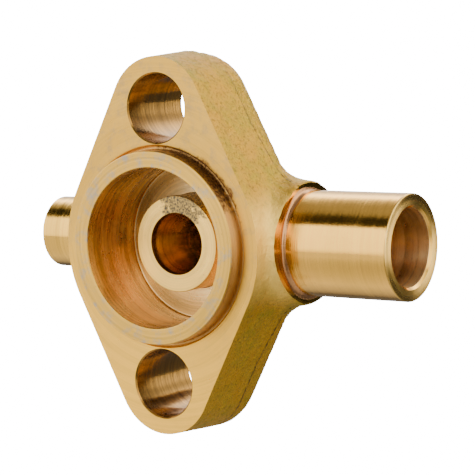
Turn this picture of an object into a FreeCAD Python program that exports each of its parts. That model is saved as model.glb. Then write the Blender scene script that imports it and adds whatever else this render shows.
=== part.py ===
"""Angle-pattern plug seacock with a diamond hull flange and two brazed spigots.

Frame: millimetres, +Z up.  The origin is the centre of the flange's mounting face, on the axis
of the plug.  -Y points out of the open chamber, +X along the delivery spigot and +Z along the
flange's long axis, through both bolt holes.
"""
import FreeCAD, Part
import math
import os
import re
import Sketcher

# ---------------------------------------------------------------- driving dimensions
DIMENSIONS = [
    # hull flange, drawn at the mould's parting plane and drafted both ways
    ("flange_thick", 18.9, "mounting face to back face"),
    ("parting_depth", 15.4, "mounting face to the parting plane"),
    ("draft_front", 4.0, "degrees of draft ahead of the parting plane"),
    ("draft_back", 17.0, "degrees of draft behind it"),
    ("waist_radius", 25.45, "round middle of the flange outline"),
    ("end_radius", 12.65, "round ends of the flange outline"),
    ("end_centre", 27.95, "plug axis to the centre of each round end"),
    ("mould_shift", 0.3, "how far the back half of the mould sat towards -Z"),
    ("bolt_centre", 28.75, "plug axis to each bolt hole"),
    ("bolt_radius", 7.13, "bolt hole"),
    ("bolt_chamfer", 0.3, "broken edge of each bolt hole"),
    # register ring and open chamber
    ("ring_height", 3.05, "register ring above the mounting face"),
    ("ring_radius", 20.1, "outside of the register ring"),
    ("relief_radius", 21.0, "outside of the relief groove round the ring"),
    ("relief_depth", 1.0, "depth of the relief groove"),
    ("chamber_radius", 16.7, "open chamber"),
    ("chamber_depth", 13.3, "mounting face to the chamber floor"),
    # barrel behind the flange
    ("barrel_radius", 16.2, "cast barrel behind the flange"),
    ("barrel_end", 32.0, "mounting face to the end of the barrel"),
    ("lug_centre", 16.4, "plug axis to each keep-plate stud"),
    ("lug_radius", 5.0, "cast lug round each stud"),
    ("box_radius", 7.6, "packing box"),
    ("box_floor", 27.4, "mounting face to the floor of the packing box"),
    # spigots
    ("pipe_depth", 18.4, "mounting face to the axis of both spigots"),
    ("delivery_radius", 11.0, "outside of the delivery spigot"),
    ("delivery_neck", 10.8, "its neck, which fits the socket"),
    ("delivery_start", 26.7, "plug axis to the shoulder where the neck ends"),
    ("delivery_bore", 8.06, "bore of the delivery spigot"),
    ("delivery_end", 49.45, "plug axis to the mouth of the delivery spigot"),
    ("delivery_seat", 18.6, "plug axis to the floor of its socket"),
    ("delivery_boss", 13.1, "radius of the cast boss round it"),
    ("delivery_face", 25.5, "plug axis to the end face of that boss"),
    ("drain_radius", 7.85, "outside of the drain spigot"),
    ("drain_neck", 7.65, "its neck, which fits the socket"),
    ("drain_start", 28.4, "plug axis to the shoulder where the neck ends"),
    ("drain_bore", 5.9, "bore of the drain spigot"),
    ("drain_end", 40.4, "plug axis to the mouth of the drain spigot"),
    ("drain_seat", 21.5, "plug axis to the floor of its socket"),
    ("drain_boss", 9.8, "radius of the cast boss round it"),
    ("drain_face", 27.0, "plug axis to the end face of that boss"),
    ("passage_radius", 4.2, "drilled passages to both spigots"),
    ("drain_well", 1.5, "radius of the drilling from the chamber floor"),
    ("drain_well_x", 12.6, "plug axis to that drilling"),
    ("braze_leg", 1.1, "leg of the silver-solder fillets"),
    # taper plug and its spindle
    ("plug_front", 5.88, "mounting face to the plug's open end"),
    ("plug_radius", 10.15, "plug at its open end"),
    ("plug_tail", 9.55, "plug at its small end"),
    ("plug_back", 25.3, "mounting face to the plug's small end"),
    ("plug_bore", 6.52, "open bore of the plug"),
    ("plug_throat", 3.7, "hole in the floor of that bore"),
    ("throat_cone", 8.5, "length of the cone that leads into it"),
    ("throat_depth", 16.0, "mounting face to that hole"),
    ("throat_floor", 20.6, "mounting face to the end of that hole's wall"),
    ("throat_point", 22.6, "mounting face to the point the drill left"),
    ("run_clear", 0.05, "radial running clearance"),
    ("spindle_radius", 4.5, "spindle through the packing"),
    ("spindle_square", 6.3, "across the flats under the lever"),
    ("thread_radius", 3.0, "threaded end of the spindle"),
    ("spindle_end", 53.0, "mounting face to the tip of the spindle"),
    # gland, keep plate and its studs
    ("packing_turn", 1.6, "thickness of one packing ring"),
    ("plate_thick", 3.5, "keep plate"),
    ("plate_waist", 14.0, "round middle of the keep plate"),
    ("plate_hole", 4.75, "keep plate's hole for the spindle"),
    ("stud_radius", 2.0, "keep-plate studs"),
    ("stud_depth", 9.0, "length of stud in the lug"),
    ("stud_washer", 4.0, "radius of the stud washers"),
    ("stud_nut", 7.0, "stud nuts across the flats"),
    ("stud_nut_high", 3.2, "height of the stud nuts"),
    ("thin_washer", 0.8, "stud washers and thrust washer"),
    ("stop_radius", 1.25, "stop pins"),
    ("stop_circle", 11.3, "plug axis to each stop pin"),
    ("stop_top", 40.0, "mounting face to the top of the stop pins"),
    ("stop_angle", 17.4, "degrees between tooth and pin when they touch"),
    # spring and lever
    ("spring_rise", 1.2, "free height of the disc spring"),
    ("spring_plate", 0.6, "thickness of the disc spring"),
    ("spring_radius", 8.4, "outside of the disc spring and thrust washer"),
    ("hub_radius", 9.0, "lever hub"),
    ("hub_start", 37.6, "mounting face to the lever hub"),
    ("lever_start", 41.0, "mounting face to the lever arm"),
    ("lever_back", 45.0, "mounting face to the back of the lever"),
    ("lever_length", 54.5, "plug axis to the tip of the bare lever"),
    ("lever_root", 5.6, "half width of the arm at the hub"),
    ("lever_tip", 3.6, "half width of the arm at its tip"),
    ("tooth_half", 2.0, "half width of the stop tooth"),
    ("tooth_root", 7.0, "plug axis to the inner end of the stop tooth"),
    ("tooth_reach", 12.0, "plug axis to the end of the stop tooth"),
    ("grip_start", 30.0, "plug axis to the start of the grip"),
    ("grip_end", 56.8, "plug axis to the end of the grip"),
    ("grip_wall", 1.3, "wall of the grip"),
    ("grip_half", 5.62, "half width of the grip where it starts"),
    ("lever_washer", 6.4, "radius of the washer under the lever nut"),
    ("lever_washer_high", 1.0, "its thickness"),
    ("lever_nut", 10.0, "lever nut across the flats"),
    ("lever_nut_high", 5.0, "height of the lever nut"),
    # small fittings on the barrel
    ("fitting_depth", 24.4, "mounting face to the grease nipple and bonding screw"),
    ("fitting_turn", 45.0, "degrees from -X to each fitting"),
    ("nipple_radius", 2.5, "thread of the grease nipple"),
    ("screw_radius", 2.0, "thread of the bonding screw"),
    ("fitting_deep", 5.0, "depth of the tapped hole for each fitting"),
    ("spot_face", 15.6, "plug axis to the spot faces under both fittings"),
    ("spot_radius", 4.1, "those spot faces"),
    ("spot_high", 6.0, "clear height that the spot facer cuts above them"),
    ("nipple_shoulder", 3.4, "radius of the nipple's shoulder"),
    ("nipple_shoulder_high", 2.6, "height of that shoulder"),
    ("nipple_cone", 2.0, "radius at the top of the cone above it"),
    ("nipple_cone_high", 3.2, "height of the top of that cone"),
    ("nipple_waist", 1.6, "waist that the grease gun grips under"),
    ("nipple_waist_high", 4.2, "height of the waist"),
    ("nipple_head", 2.2, "radius of the nipple's head"),
    ("nipple_head_low", 5.2, "height of the underside of the head"),
    ("nipple_head_high", 6.0, "height of the head's rim"),
    ("nipple_tip", 1.3, "radius of the flat tip"),
    ("nipple_high", 7.0, "height of the nipple above its spot face"),
    ("bond_washer", 3.9, "radius of the washer under the bonding screw"),
    ("screw_head", 3.4, "radius of the bonding screw's head"),
    ("screw_rim", 1.4, "height of the head's straight rim"),
    ("screw_crown", 2.4, "radius of the head's crown"),
    ("screw_crown_high", 2.5, "height of the edge of the crown"),
    ("screw_high", 2.9, "height of the whole head"),
    # clearances and small edges
    ("cut_past", 1.0, "how far a cutter runs past the surface it starts from"),
    ("tail_clear", 0.3, "space behind the plug's small end"),
    ("tube_edge", 0.25, "broken outer edge of both tubes"),
    ("delivery_mouth", 0.55, "countersink in the mouth of the delivery spigot"),
    ("drain_mouth", 0.4, "countersink in the mouth of the drain spigot"),
    ("braze_hollow", 0.36, "share of a fillet's leg left at the middle of its hollow face"),
    ("plug_edge", 0.15, "broken edge of the plug's open end"),
    ("square_corner", 4.095, "plug axis to the rounded corners of the square"),
    ("square_step", 0.2, "how far the square stops short of the lever's faces"),
    ("thread_lead", 0.6, "chamfer at the tip of the spindle"),
    ("packing_clear", 0.02, "packing to the wall of its box"),
    ("hole_clear", 0.15, "radial clearance round studs and screws"),
    ("stud_show", 0.7, "length of stud that shows past its nut"),
    ("spring_clear", 0.4, "disc spring's hole to the spindle"),
    ("square_clear", 0.03, "lever's square hole to the square"),
]

LEAST_CHANGE = 0.5    # cubic millimetres that a feature has to add or remove

doc = FreeCAD.newDocument("seacock")
sheet = doc.addObject("Spreadsheet::Sheet", "dims")
for row, (alias, value, meaning) in enumerate(DIMENSIONS, start=1):
    sheet.set("A%d" % row, meaning)
    sheet.set("B%d" % row, str(value))
    sheet.setAlias("B%d" % row, alias)
doc.recompute()


def size(alias):
    """The number that a cell of the sheet holds."""
    return float(sheet.get(alias))


def bound(expression):
    """Write each dimension name in an expression as a reference to the sheet."""
    return re.sub(r"[a-z_]{5,}", lambda word: "dims." + word.group(0), expression)


# ---------------------------------------------------------------- helpers
def new_body(label):
    """A PartDesign body whose label is the sub-part's name."""
    body = doc.addObject("PartDesign::Body", label)
    body.Label = label
    return body


def plane_of(body, role):
    """One of the body's own origin planes."""
    for feature in body.Origin.OriginFeatures:
        if feature.Role == role:
            return feature
    raise RuntimeError("no plane " + role)


def new_sketch(body, role, name, offset=None, axis="z"):
    """A sketch on an origin plane, moved by an expression along the plane's own axis."""
    sketch = body.newObject("Sketcher::SketchObject", name)
    sketch.AttachmentSupport = (plane_of(body, role), [""])
    sketch.MapMode = "FlatFace"
    if offset:
        sketch.setExpression("AttachmentOffset.Base." + axis, bound(offset))
    return sketch


def draw_profile(sketch, points):
    """A closed polygon whose corners are pairs of expressions for x and y."""
    count = len(points)
    for index in range(count):
        start = math.tau * index / count
        end = math.tau * (index + 1) / count
        first = FreeCAD.Vector(math.cos(start), math.sin(start), 0)
        last = FreeCAD.Vector(math.cos(end), math.sin(end), 0)
        sketch.addGeometry(Part.LineSegment(first, last), False)
    for index in range(count):
        sketch.addConstraint(Sketcher.Constraint("Coincident", index, 2, (index + 1) % count, 1))
    for index, (across, along) in enumerate(points):
        for kind, expression in (("DistanceX", across), ("DistanceY", along)):
            if expression == "0":
                line = -2 if kind == "DistanceX" else -1
                sketch.addConstraint(Sketcher.Constraint("PointOnObject", index, 1, line))
            else:
                number = sketch.addConstraint(Sketcher.Constraint(kind, index, 1, 1.0))
                sketch.setExpression("Constraints[%d]" % number, bound(expression))


def draw_circle(sketch, radius, x="0", y="0"):
    """A circle whose radius and centre are expressions."""
    circle = Part.Circle(FreeCAD.Vector(0.5, 0.5, 0), FreeCAD.Vector(0, 0, 1), 1.0)
    index = sketch.addGeometry(circle, False)
    number = sketch.addConstraint(Sketcher.Constraint("Radius", index, 1.0))
    sketch.setExpression("Constraints[%d]" % number, bound(radius))
    for kind, expression, line in (("DistanceX", x, -2), ("DistanceY", y, -1)):
        if expression == "0":
            sketch.addConstraint(Sketcher.Constraint("PointOnObject", index, 3, line))
        else:
            number = sketch.addConstraint(Sketcher.Constraint(kind, index, 3, 1.0))
            sketch.setExpression("Constraints[%d]" % number, bound(expression))


def draw_diamond(sketch, waist, end, centre):
    """Two round ends and a round waist joined by four tangent lines."""
    waist_size = size(waist)
    end_size = size(end)
    rise = size(centre)
    lean = math.asin((waist_size - end_size) / rise)
    normal = FreeCAD.Vector(math.cos(lean), math.sin(lean), 0)
    up = FreeCAD.Vector(0, rise, 0)
    corner = {}
    for sx in (1, -1):
        for sy in (1, -1):
            flip = FreeCAD.Vector(sx * normal.x, sy * normal.y, 0)
            corner[sx, sy, "waist"] = flip * waist_size
            corner[sx, sy, "end"] = FreeCAD.Vector(0, sy * up.y, 0) + flip * end_size
    axis = FreeCAD.Vector(0, 0, 1)
    flat = FreeCAD.Vector(0, 0, 0)
    arcs = [
        (up, end_size, lean, math.pi - lean),
        (flat, waist_size, math.pi - lean, math.pi + lean),
        (-up, end_size, math.pi + lean, math.tau - lean),
        (flat, waist_size, -lean, lean),
    ]
    for middle, radius, begin, finish in arcs:
        sketch.addGeometry(Part.ArcOfCircle(Part.Circle(middle, axis, radius), begin, finish), False)
    sides = [(-1, 1), (-1, -1), (1, -1), (1, 1)]
    for sx, sy in sides:
        ends = (corner[sx, sy, "end"], corner[sx, sy, "waist"])
        if (sx, sy) in ((-1, -1), (1, 1)):
            ends = (ends[1], ends[0])
        sketch.addGeometry(Part.LineSegment(*ends), False)
    order = [0, 4, 1, 5, 2, 6, 3, 7]
    for here, there in zip(order, order[1:] + order[:1]):
        sketch.addConstraint(Sketcher.Constraint("Tangent", here, 2, there, 1))
    for index, radius in ((0, end), (2, end), (1, waist), (3, waist)):
        number = sketch.addConstraint(Sketcher.Constraint("Radius", index, size(radius)))
        sketch.setExpression("Constraints[%d]" % number, bound(radius))
    for index in (0, 2):
        sketch.addConstraint(Sketcher.Constraint("PointOnObject", index, 3, -2))
    for index in (1, 3):
        sketch.addConstraint(Sketcher.Constraint("Coincident", index, 3, -1, 1))
    for index, sign in ((0, ""), (2, "-")):
        value = size(centre) * (-1 if sign else 1)
        number = sketch.addConstraint(Sketcher.Constraint("DistanceY", index, 3, value))
        sketch.setExpression("Constraints[%d]" % number, bound(sign + centre))


def pad(body, sketch, length, name, backward=False, taper=None):
    """Pad a sketch; on the XZ plane forward means towards -Y."""
    feature = body.newObject("PartDesign::Pad", name)
    feature.Profile = sketch
    feature.Reversed = backward
    feature.setExpression("Length", bound(length))
    if taper:
        feature.setExpression("TaperAngle", bound(taper))
    return feature


def pocket(body, sketch, length, name, backward=False):
    """Cut a sketch away; on the XZ plane forward means towards +Y."""
    feature = body.newObject("PartDesign::Pocket", name)
    feature.Profile = sketch
    feature.Reversed = backward
    feature.setExpression("Length", bound(length))
    return feature


def revolve(body, sketch, axis, name, cut=False):
    """Turn a sketch all the way round its horizontal or vertical axis."""
    feature = body.newObject("PartDesign::Groove" if cut else "PartDesign::Revolution", name)
    feature.Profile = sketch
    feature.ReferenceAxis = (sketch, [axis])
    feature.Angle = 360.0
    return feature


def turned(label, points):
    """A body turned about the plug axis; points are (radius, depth) expressions."""
    body = new_body(label)
    sketch = new_sketch(body, "XY_Plane", label + "_profile")
    draw_profile(sketch, points)
    revolve(body, sketch, "V_Axis", label + "_turning")
    return body


def turned_on_pipe(label, points):
    """A body turned about the spigots' axis; points are (x, radius) expressions."""
    body = new_body(label)
    sketch = new_sketch(body, "XY_Plane", label + "_profile", "pipe_depth", "y")
    draw_profile(sketch, points)
    revolve(body, sketch, "H_Axis", label + "_turning")
    return body


def washer_ring(inner, outer, start, thick):
    """Profile of a flat ring about the plug axis."""
    end = "(%s) + (%s)" % (start, thick)
    return [(inner, start), (outer, start), (outer, end), (inner, end)]


def grow(feature, before, label):
    """Stop if a feature that should add or remove material did nothing."""
    doc.recompute()
    change = feature.Shape.Volume - before
    if abs(change) < LEAST_CHANGE:
        raise RuntimeError("%s changed nothing" % label)
    return feature.Shape.Volume


def fitting_turn(sign):
    """Rotation that lays +Z along a small fitting's axis, above (1) or below (-1) the -X axis."""
    return FreeCAD.Rotation(FreeCAD.Vector(0, 1, 0), -90 + sign * size("fitting_turn"))


# ---------------------------------------------------------------- body casting
def make_body_casting():
    """Flange, ring, barrel, lugs and bosses cast in one, then bored, drilled and spot faced."""
    body = new_body("body_casting")
    outline = new_sketch(body, "XZ_Plane", "flange_outline", "-parting_depth")
    draw_diamond(outline, "waist_radius", "end_radius", "end_centre")
    front = pad(body, outline, "parting_depth", "flange_front", taper="-draft_front")
    volume = grow(front, 0.0, "flange_front")
    again = new_sketch(body, "XZ_Plane", "flange_outline_back", "-parting_depth")
    again.setExpression("AttachmentOffset.Base.y", "-dims.mould_shift")
    draw_diamond(again, "waist_radius", "end_radius", "end_centre")
    back = pad(body, again, "flange_thick - parting_depth", "flange_back", True, "-draft_back")
    volume = grow(back, volume, "flange_back")

    circle = new_sketch(body, "XZ_Plane", "ring_circle", "ring_height")
    draw_circle(circle, "ring_radius")
    volume = grow(pad(body, circle, "ring_height + cut_past", "register_ring", True), volume, "ring")

    rear = new_sketch(body, "XZ_Plane", "barrel_circle", "-parting_depth")
    draw_circle(rear, "barrel_radius")
    barrel = pad(body, rear, "barrel_end - parting_depth", "barrel", True)
    volume = grow(barrel, volume, "barrel")
    for number, sign in enumerate(("", "-")):
        lug = new_sketch(body, "XZ_Plane", "lug_circle_%d" % number, "-parting_depth")
        draw_circle(lug, "lug_radius", "0", sign + "lug_centre")
        name = "stud_lug_%d" % number
        volume = grow(pad(body, lug, "barrel_end - parting_depth", name, True), volume, name)
        web = new_sketch(body, "XZ_Plane", "web_outline_%d" % number, "-parting_depth")
        tip = sign + "lug_centre"
        draw_profile(web, [("-lug_radius", "0"), ("lug_radius", "0"), ("lug_radius", tip),
                           ("-lug_radius", tip)])
        name = "lug_web_%d" % number
        volume = grow(pad(body, web, "barrel_end - parting_depth", name, True), volume, name)

    for side, radius, length in (("delivery", "delivery_boss", "delivery_face"),
                                 ("drain", "drain_boss", "drain_face")):
        boss = new_sketch(body, "YZ_Plane", side + "_boss_circle")
        draw_circle(boss, radius, "pipe_depth")
        name = side + "_boss_cast"
        volume = grow(pad(body, boss, length, name, side == "drain"), volume, name)

    bore = new_sketch(body, "XY_Plane", "plug_axis_bores")
    draw_profile(bore, [
        ("0", "-ring_height - cut_past"),
        ("chamber_radius", "-ring_height - cut_past"),
        ("chamber_radius", "chamber_depth"),
        ("plug_radius + run_clear", "chamber_depth"),
        ("plug_tail + run_clear", "plug_back + tail_clear"),
        ("spindle_radius + run_clear", "plug_back + tail_clear"),
        ("spindle_radius + run_clear", "box_floor"),
        ("box_radius", "box_floor"),
        ("box_radius", "barrel_end + cut_past"),
        ("0", "barrel_end + cut_past"),
    ])
    volume = grow(revolve(body, bore, "V_Axis", "bored_centre", cut=True), volume, "bores")

    relief = new_sketch(body, "XY_Plane", "ring_relief")
    draw_profile(relief, [("ring_radius", "-cut_past"), ("relief_radius", "-cut_past"),
                          ("relief_radius", "relief_depth"), ("ring_radius", "relief_depth")])
    volume = grow(revolve(body, relief, "V_Axis", "relief_groove", cut=True), volume, "relief")

    for number, sign in enumerate(("", "-")):
        drill = new_sketch(body, "XY_Plane", "bolt_hole_%d" % number, sign + "bolt_centre")
        draw_profile(drill, [
            ("0", "-cut_past"),
            ("bolt_radius + bolt_chamfer + cut_past", "-cut_past"),
            ("bolt_radius", "bolt_chamfer"),
            ("bolt_radius", "flange_thick + cut_past"),
            ("0", "flange_thick + cut_past"),
        ])
        name = "bolt_drilling_%d" % number
        volume = grow(revolve(body, drill, "V_Axis", name, cut=True), volume, name)
        tap = new_sketch(body, "XZ_Plane", "stud_hole_%d" % number, "-barrel_end")
        draw_circle(tap, "stud_radius", "0", sign + "lug_centre")
        name = "stud_tapping_%d" % number
        volume = grow(pocket(body, tap, "stud_depth + cut_past", name, True), volume, name)

    delivery = new_sketch(body, "XY_Plane", "delivery_drilling", "pipe_depth", "y")
    draw_profile(delivery, [
        ("plug_tail - 2 * cut_past", "0"),
        ("delivery_face + cut_past", "0"),
        ("delivery_face + cut_past", "delivery_neck"),
        ("delivery_seat", "delivery_neck"),
        ("delivery_seat", "passage_radius"),
        ("plug_tail - 2 * cut_past", "passage_radius"),
    ])
    volume = grow(revolve(body, delivery, "H_Axis", "delivery_socket", cut=True), volume, "delivery")

    drain = new_sketch(body, "XY_Plane", "drain_drilling", "pipe_depth", "y")
    draw_profile(drain, [
        ("-drain_well_x + drain_well", "0"),
        ("-drain_face - cut_past", "0"),
        ("-drain_face - cut_past", "drain_neck"),
        ("-drain_seat", "drain_neck"),
        ("-drain_seat", "passage_radius"),
        ("-drain_well_x + drain_well", "passage_radius"),
    ])
    volume = grow(revolve(body, drain, "H_Axis", "drain_socket", cut=True), volume, "drain")
    well = new_sketch(body, "XZ_Plane", "drain_well_circle", "-chamber_depth + cut_past")
    draw_circle(well, "drain_well", "-drain_well_x")
    depth = "pipe_depth - chamber_depth + cut_past"
    volume = grow(pocket(body, well, depth, "drain_well_cut"), volume, "drain well")

    for name, sign, radius in (("nipple", 1, "nipple_radius"), ("screw", -1, "screw_radius")):
        turn = fitting_turn(sign)
        along = turn.multVec(FreeCAD.Vector(0, 0, 1))
        middle = FreeCAD.Vector(0, size("fitting_depth"), 0)
        top = size("spot_face")
        floor = top - size("fitting_deep")
        for part, start, wide, high in (("tapping", floor, radius, "fitting_deep"),
                                        ("spot_face", top, "spot_radius", "spot_high")):
            cut = body.newObject("PartDesign::SubtractiveCylinder", name + "_" + part)
            cut.setExpression("Radius", bound(wide))
            cut.setExpression("Height", bound(high))
            cut.Placement = FreeCAD.Placement(along * start + middle, turn)
            volume = grow(cut, volume, name + " " + part)
    return body


# ---------------------------------------------------------------- spigots and their joints
def make_spigots():
    """Two tubes brazed into their sockets, each with a fillet of silver solder."""
    delivery = turned_on_pipe("delivery_spigot", [
        ("delivery_seat", "delivery_bore"),
        ("delivery_seat", "delivery_neck"),
        ("delivery_start", "delivery_neck"),
        ("delivery_start", "delivery_radius"),
        ("delivery_end - tube_edge", "delivery_radius"),
        ("delivery_end", "delivery_radius - tube_edge"),
        ("delivery_end", "delivery_bore + delivery_mouth"),
        ("delivery_end - delivery_mouth", "delivery_bore"),
    ])
    drain = turned_on_pipe("drain_spigot", [
        ("-drain_seat", "drain_bore"),
        ("-drain_seat", "drain_neck"),
        ("-drain_start", "drain_neck"),
        ("-drain_start", "drain_radius"),
        ("-drain_end + tube_edge", "drain_radius"),
        ("-drain_end", "drain_radius - tube_edge"),
        ("-drain_end", "drain_bore + drain_mouth"),
        ("-drain_end + drain_mouth", "drain_bore"),
    ])
    delivery_solder = turned_on_pipe("delivery_solder_ring", [
        ("delivery_face", "delivery_neck"),
        ("delivery_face", "delivery_neck + braze_leg"),
        ("delivery_face + braze_hollow * braze_leg", "delivery_neck + braze_hollow * braze_leg"),
        ("delivery_face + braze_leg", "delivery_neck"),
    ])
    drain_solder = turned_on_pipe("drain_solder_ring", [
        ("-drain_face", "drain_neck"),
        ("-drain_face", "drain_neck + braze_leg"),
        ("-drain_face - braze_hollow * braze_leg", "drain_neck + braze_hollow * braze_leg"),
        ("-drain_face - braze_leg", "drain_neck"),
    ])
    return [delivery, drain, delivery_solder, drain_solder]


# ---------------------------------------------------------------- plug and spindle
def make_plug():
    """Hollow taper plug, open to the chamber, with one side port and a square-ended spindle."""
    plug = turned("valve_plug", [
        ("plug_bore", "plug_front"),
        ("plug_radius - plug_edge", "plug_front"),
        ("plug_radius", "plug_front + plug_edge"),
        ("plug_radius", "chamber_depth"),
        ("plug_tail", "plug_back"),
        ("spindle_radius", "plug_back"),
        ("spindle_radius", "hub_start - square_step"),
        ("square_corner", "hub_start"),
        ("square_corner", "lever_back - square_step"),
        ("thread_radius", "lever_back - square_step"),
        ("thread_radius", "spindle_end - thread_lead"),
        ("thread_radius - thread_lead", "spindle_end"),
        ("0", "spindle_end"),
        ("0", "throat_point"),
        ("plug_throat", "throat_floor"),
        ("plug_throat", "throat_depth"),
        ("plug_bore", "throat_depth - throat_cone"),
    ])
    doc.recompute()
    volume = plug.Shape.Volume
    port = new_sketch(plug, "YZ_Plane", "side_port_circle")
    draw_circle(port, "passage_radius", "pipe_depth")
    feature = pocket(plug, port, "plug_radius + cut_past", "side_port", True)
    volume = grow(feature, volume, "side port")
    for number, (sx, sy) in enumerate(((1, 0), (-1, 0), (0, 1), (0, -1))):
        flat = new_sketch(plug, "XZ_Plane", "square_flat_%d" % number, "-hub_start")
        near = "spindle_square / 2"
        far = "spindle_square"
        if sx:
            xs = [near, far] if sx > 0 else ["-" + near, "-" + far]
            corners = [(xs[0], "-" + far), (xs[1], "-" + far), (xs[1], far), (xs[0], far)]
        else:
            ys = [near, far] if sy > 0 else ["-" + near, "-" + far]
            corners = [("-" + far, ys[0]), (far, ys[0]), (far, ys[1]), ("-" + far, ys[1])]
        draw_profile(flat, corners)
        name = "square_cut_%d" % number
        volume = grow(pocket(plug, flat, "lever_back - square_step - hub_start", name), volume, name)
    return plug


# ---------------------------------------------------------------- packing, gland and keep plate
def make_gland():
    """Two packing rings, the bush that presses them and the keep plate behind it."""
    parts = []
    shaft = "spindle_radius + run_clear"
    for number in range(2):
        start = "box_floor + %d * packing_turn" % number
        ring = washer_ring(shaft, "box_radius - packing_clear", start, "packing_turn")
        parts.append(turned("packing_ring_%s" % ("inner" if number == 0 else "outer"), ring))
    start = "box_floor + 2 * packing_turn"
    thick = "barrel_end - box_floor - 2 * packing_turn"
    parts.append(turned("gland_bush", washer_ring(shaft, "box_radius - run_clear", start, thick)))

    plate = new_body("keep_plate")
    outline = new_sketch(plate, "XZ_Plane", "plate_outline", "-barrel_end")
    draw_diamond(outline, "plate_waist", "lug_radius", "lug_centre")
    volume = grow(pad(plate, outline, "plate_thick", "plate", True), 0.0, "plate")
    centre = new_sketch(plate, "XZ_Plane", "plate_centre", "-barrel_end")
    draw_circle(centre, "plate_hole")
    volume = grow(pocket(plate, centre, "plate_thick + cut_past", "spindle_hole"), volume, "hole")
    for number, sign in enumerate(("", "-")):
        hole = new_sketch(plate, "XZ_Plane", "plate_stud_%d" % number, "-barrel_end")
        draw_circle(hole, "stud_radius + hole_clear", "0", sign + "lug_centre")
        name = "plate_stud_hole_%d" % number
        volume = grow(pocket(plate, hole, "plate_thick + cut_past", name), volume, name)
    for number, (across, up) in enumerate(stop_places()):
        hole = new_sketch(plate, "XZ_Plane", "plate_stop_%d" % number, "-barrel_end")
        draw_circle(hole, "stop_radius", across, up)
        name = "plate_stop_hole_%d" % number
        volume = grow(pocket(plate, hole, "plate_thick + cut_past", name), volume, name)
    parts.append(plate)
    return parts


def stop_places():
    """Centres of the stop pins: one beside the tooth when open, one when it has turned 90."""
    return [
        ("stop_circle * cos(stop_angle)", "stop_circle * sin(stop_angle)"),
        ("-stop_circle * sin(stop_angle)", "-stop_circle * cos(stop_angle)"),
    ]


# ---------------------------------------------------------------- pieces that come in pairs
def cylinder_at(label, radius, start, end, x="0", z="0"):
    """A round bar parallel to the plug axis, between two depths."""
    bar = doc.addObject("Part::Cylinder", label)
    bar.setExpression("Radius", bound(radius))
    bar.setExpression("Height", bound("(%s) - (%s)" % (end, start)))
    bar.Placement = FreeCAD.Placement(FreeCAD.Vector(0, 0, 0), FreeCAD.Rotation(
        FreeCAD.Vector(1, 0, 0), -90))
    bar.setExpression("Placement.Base.x", bound(x))
    bar.setExpression("Placement.Base.y", bound(start))
    bar.setExpression("Placement.Base.z", bound(z))
    return bar


def hexagon_at(label, flats, start, high, z="0"):
    """A hexagonal prism parallel to the plug axis."""
    prism = doc.addObject("Part::Prism", label)
    prism.Polygon = 6
    prism.setExpression("Circumradius", bound("(%s) / sqrt(3)" % flats))
    prism.setExpression("Height", bound(high))
    prism.Placement = FreeCAD.Placement(FreeCAD.Vector(0, 0, 0), FreeCAD.Rotation(
        FreeCAD.Vector(1, 0, 0), -90))
    prism.setExpression("Placement.Base.y", bound(start))
    prism.setExpression("Placement.Base.z", bound(z))
    return prism


def drilled(label, outside, radius, start, end, z="0"):
    """Cut a hole parallel to the plug axis through an object."""
    tool = cylinder_at(label + "_drill", radius, "(%s) - cut_past" % start, "(%s) + cut_past" % end, "0", z)
    result = doc.addObject("Part::Cut", label)
    result.Base = outside
    result.Tool = tool
    return result


def gathered(label, pieces):
    """Identical pieces that share one node, kept as separate solids."""
    group = doc.addObject("Part::Compound", label)
    group.Links = pieces
    group.Label = label
    return group


def make_keep_fasteners():
    """Studs, washers and nuts that hold the keep plate, and the two stop pins."""
    plate_back = "barrel_end + plate_thick"
    washer_back = plate_back + " + thin_washer"
    nut_back = washer_back + " + stud_nut_high"
    studs, washers, nuts = [], [], []
    for number, sign in enumerate(("", "-")):
        place = sign + "lug_centre"
        name = "stud_%d" % number
        end = nut_back + " + stud_show"
        studs.append(cylinder_at(name, "stud_radius", "barrel_end - stud_depth", end, "0", place))
        disc = cylinder_at("washer_disc_%d" % number, "stud_washer", plate_back, washer_back, "0", place)
        name = "washer_%d" % number
        washers.append(drilled(name, disc, "stud_radius + hole_clear", plate_back, washer_back, place))
        hexagon = hexagon_at("nut_hex_%d" % number, "stud_nut", washer_back, "stud_nut_high", place)
        name = "nut_%d" % number
        nuts.append(drilled(name, hexagon, "stud_radius", washer_back, nut_back, place))
    pins = []
    for number, (across, up) in enumerate(stop_places()):
        name = "stop_%d" % number
        pins.append(cylinder_at(name, "stop_radius", "barrel_end", "stop_top", across, up))
    return [gathered("keep_plate_studs", studs), gathered("stud_washers", washers),
            gathered("stud_nuts", nuts), gathered("stop_pins", pins)]


# ---------------------------------------------------------------- spring, lever and its fixings
def make_spring_stack():
    """Disc spring that draws the plug into its taper, and the thrust washer it bears on."""
    plate_back = "barrel_end + plate_thick"
    crest = "(%s + spring_rise)" % plate_back
    hole = "spindle_radius + spring_clear"
    spring = turned("disc_spring", [
        (hole, crest + " - spring_plate"),
        ("spring_radius", plate_back),
        ("spring_radius", plate_back + " + spring_plate"),
        (hole, crest),
    ])
    ring = washer_ring("spindle_radius + run_clear", "spring_radius", crest, "thin_washer")
    return [spring, turned("thrust_washer", ring)]


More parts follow.
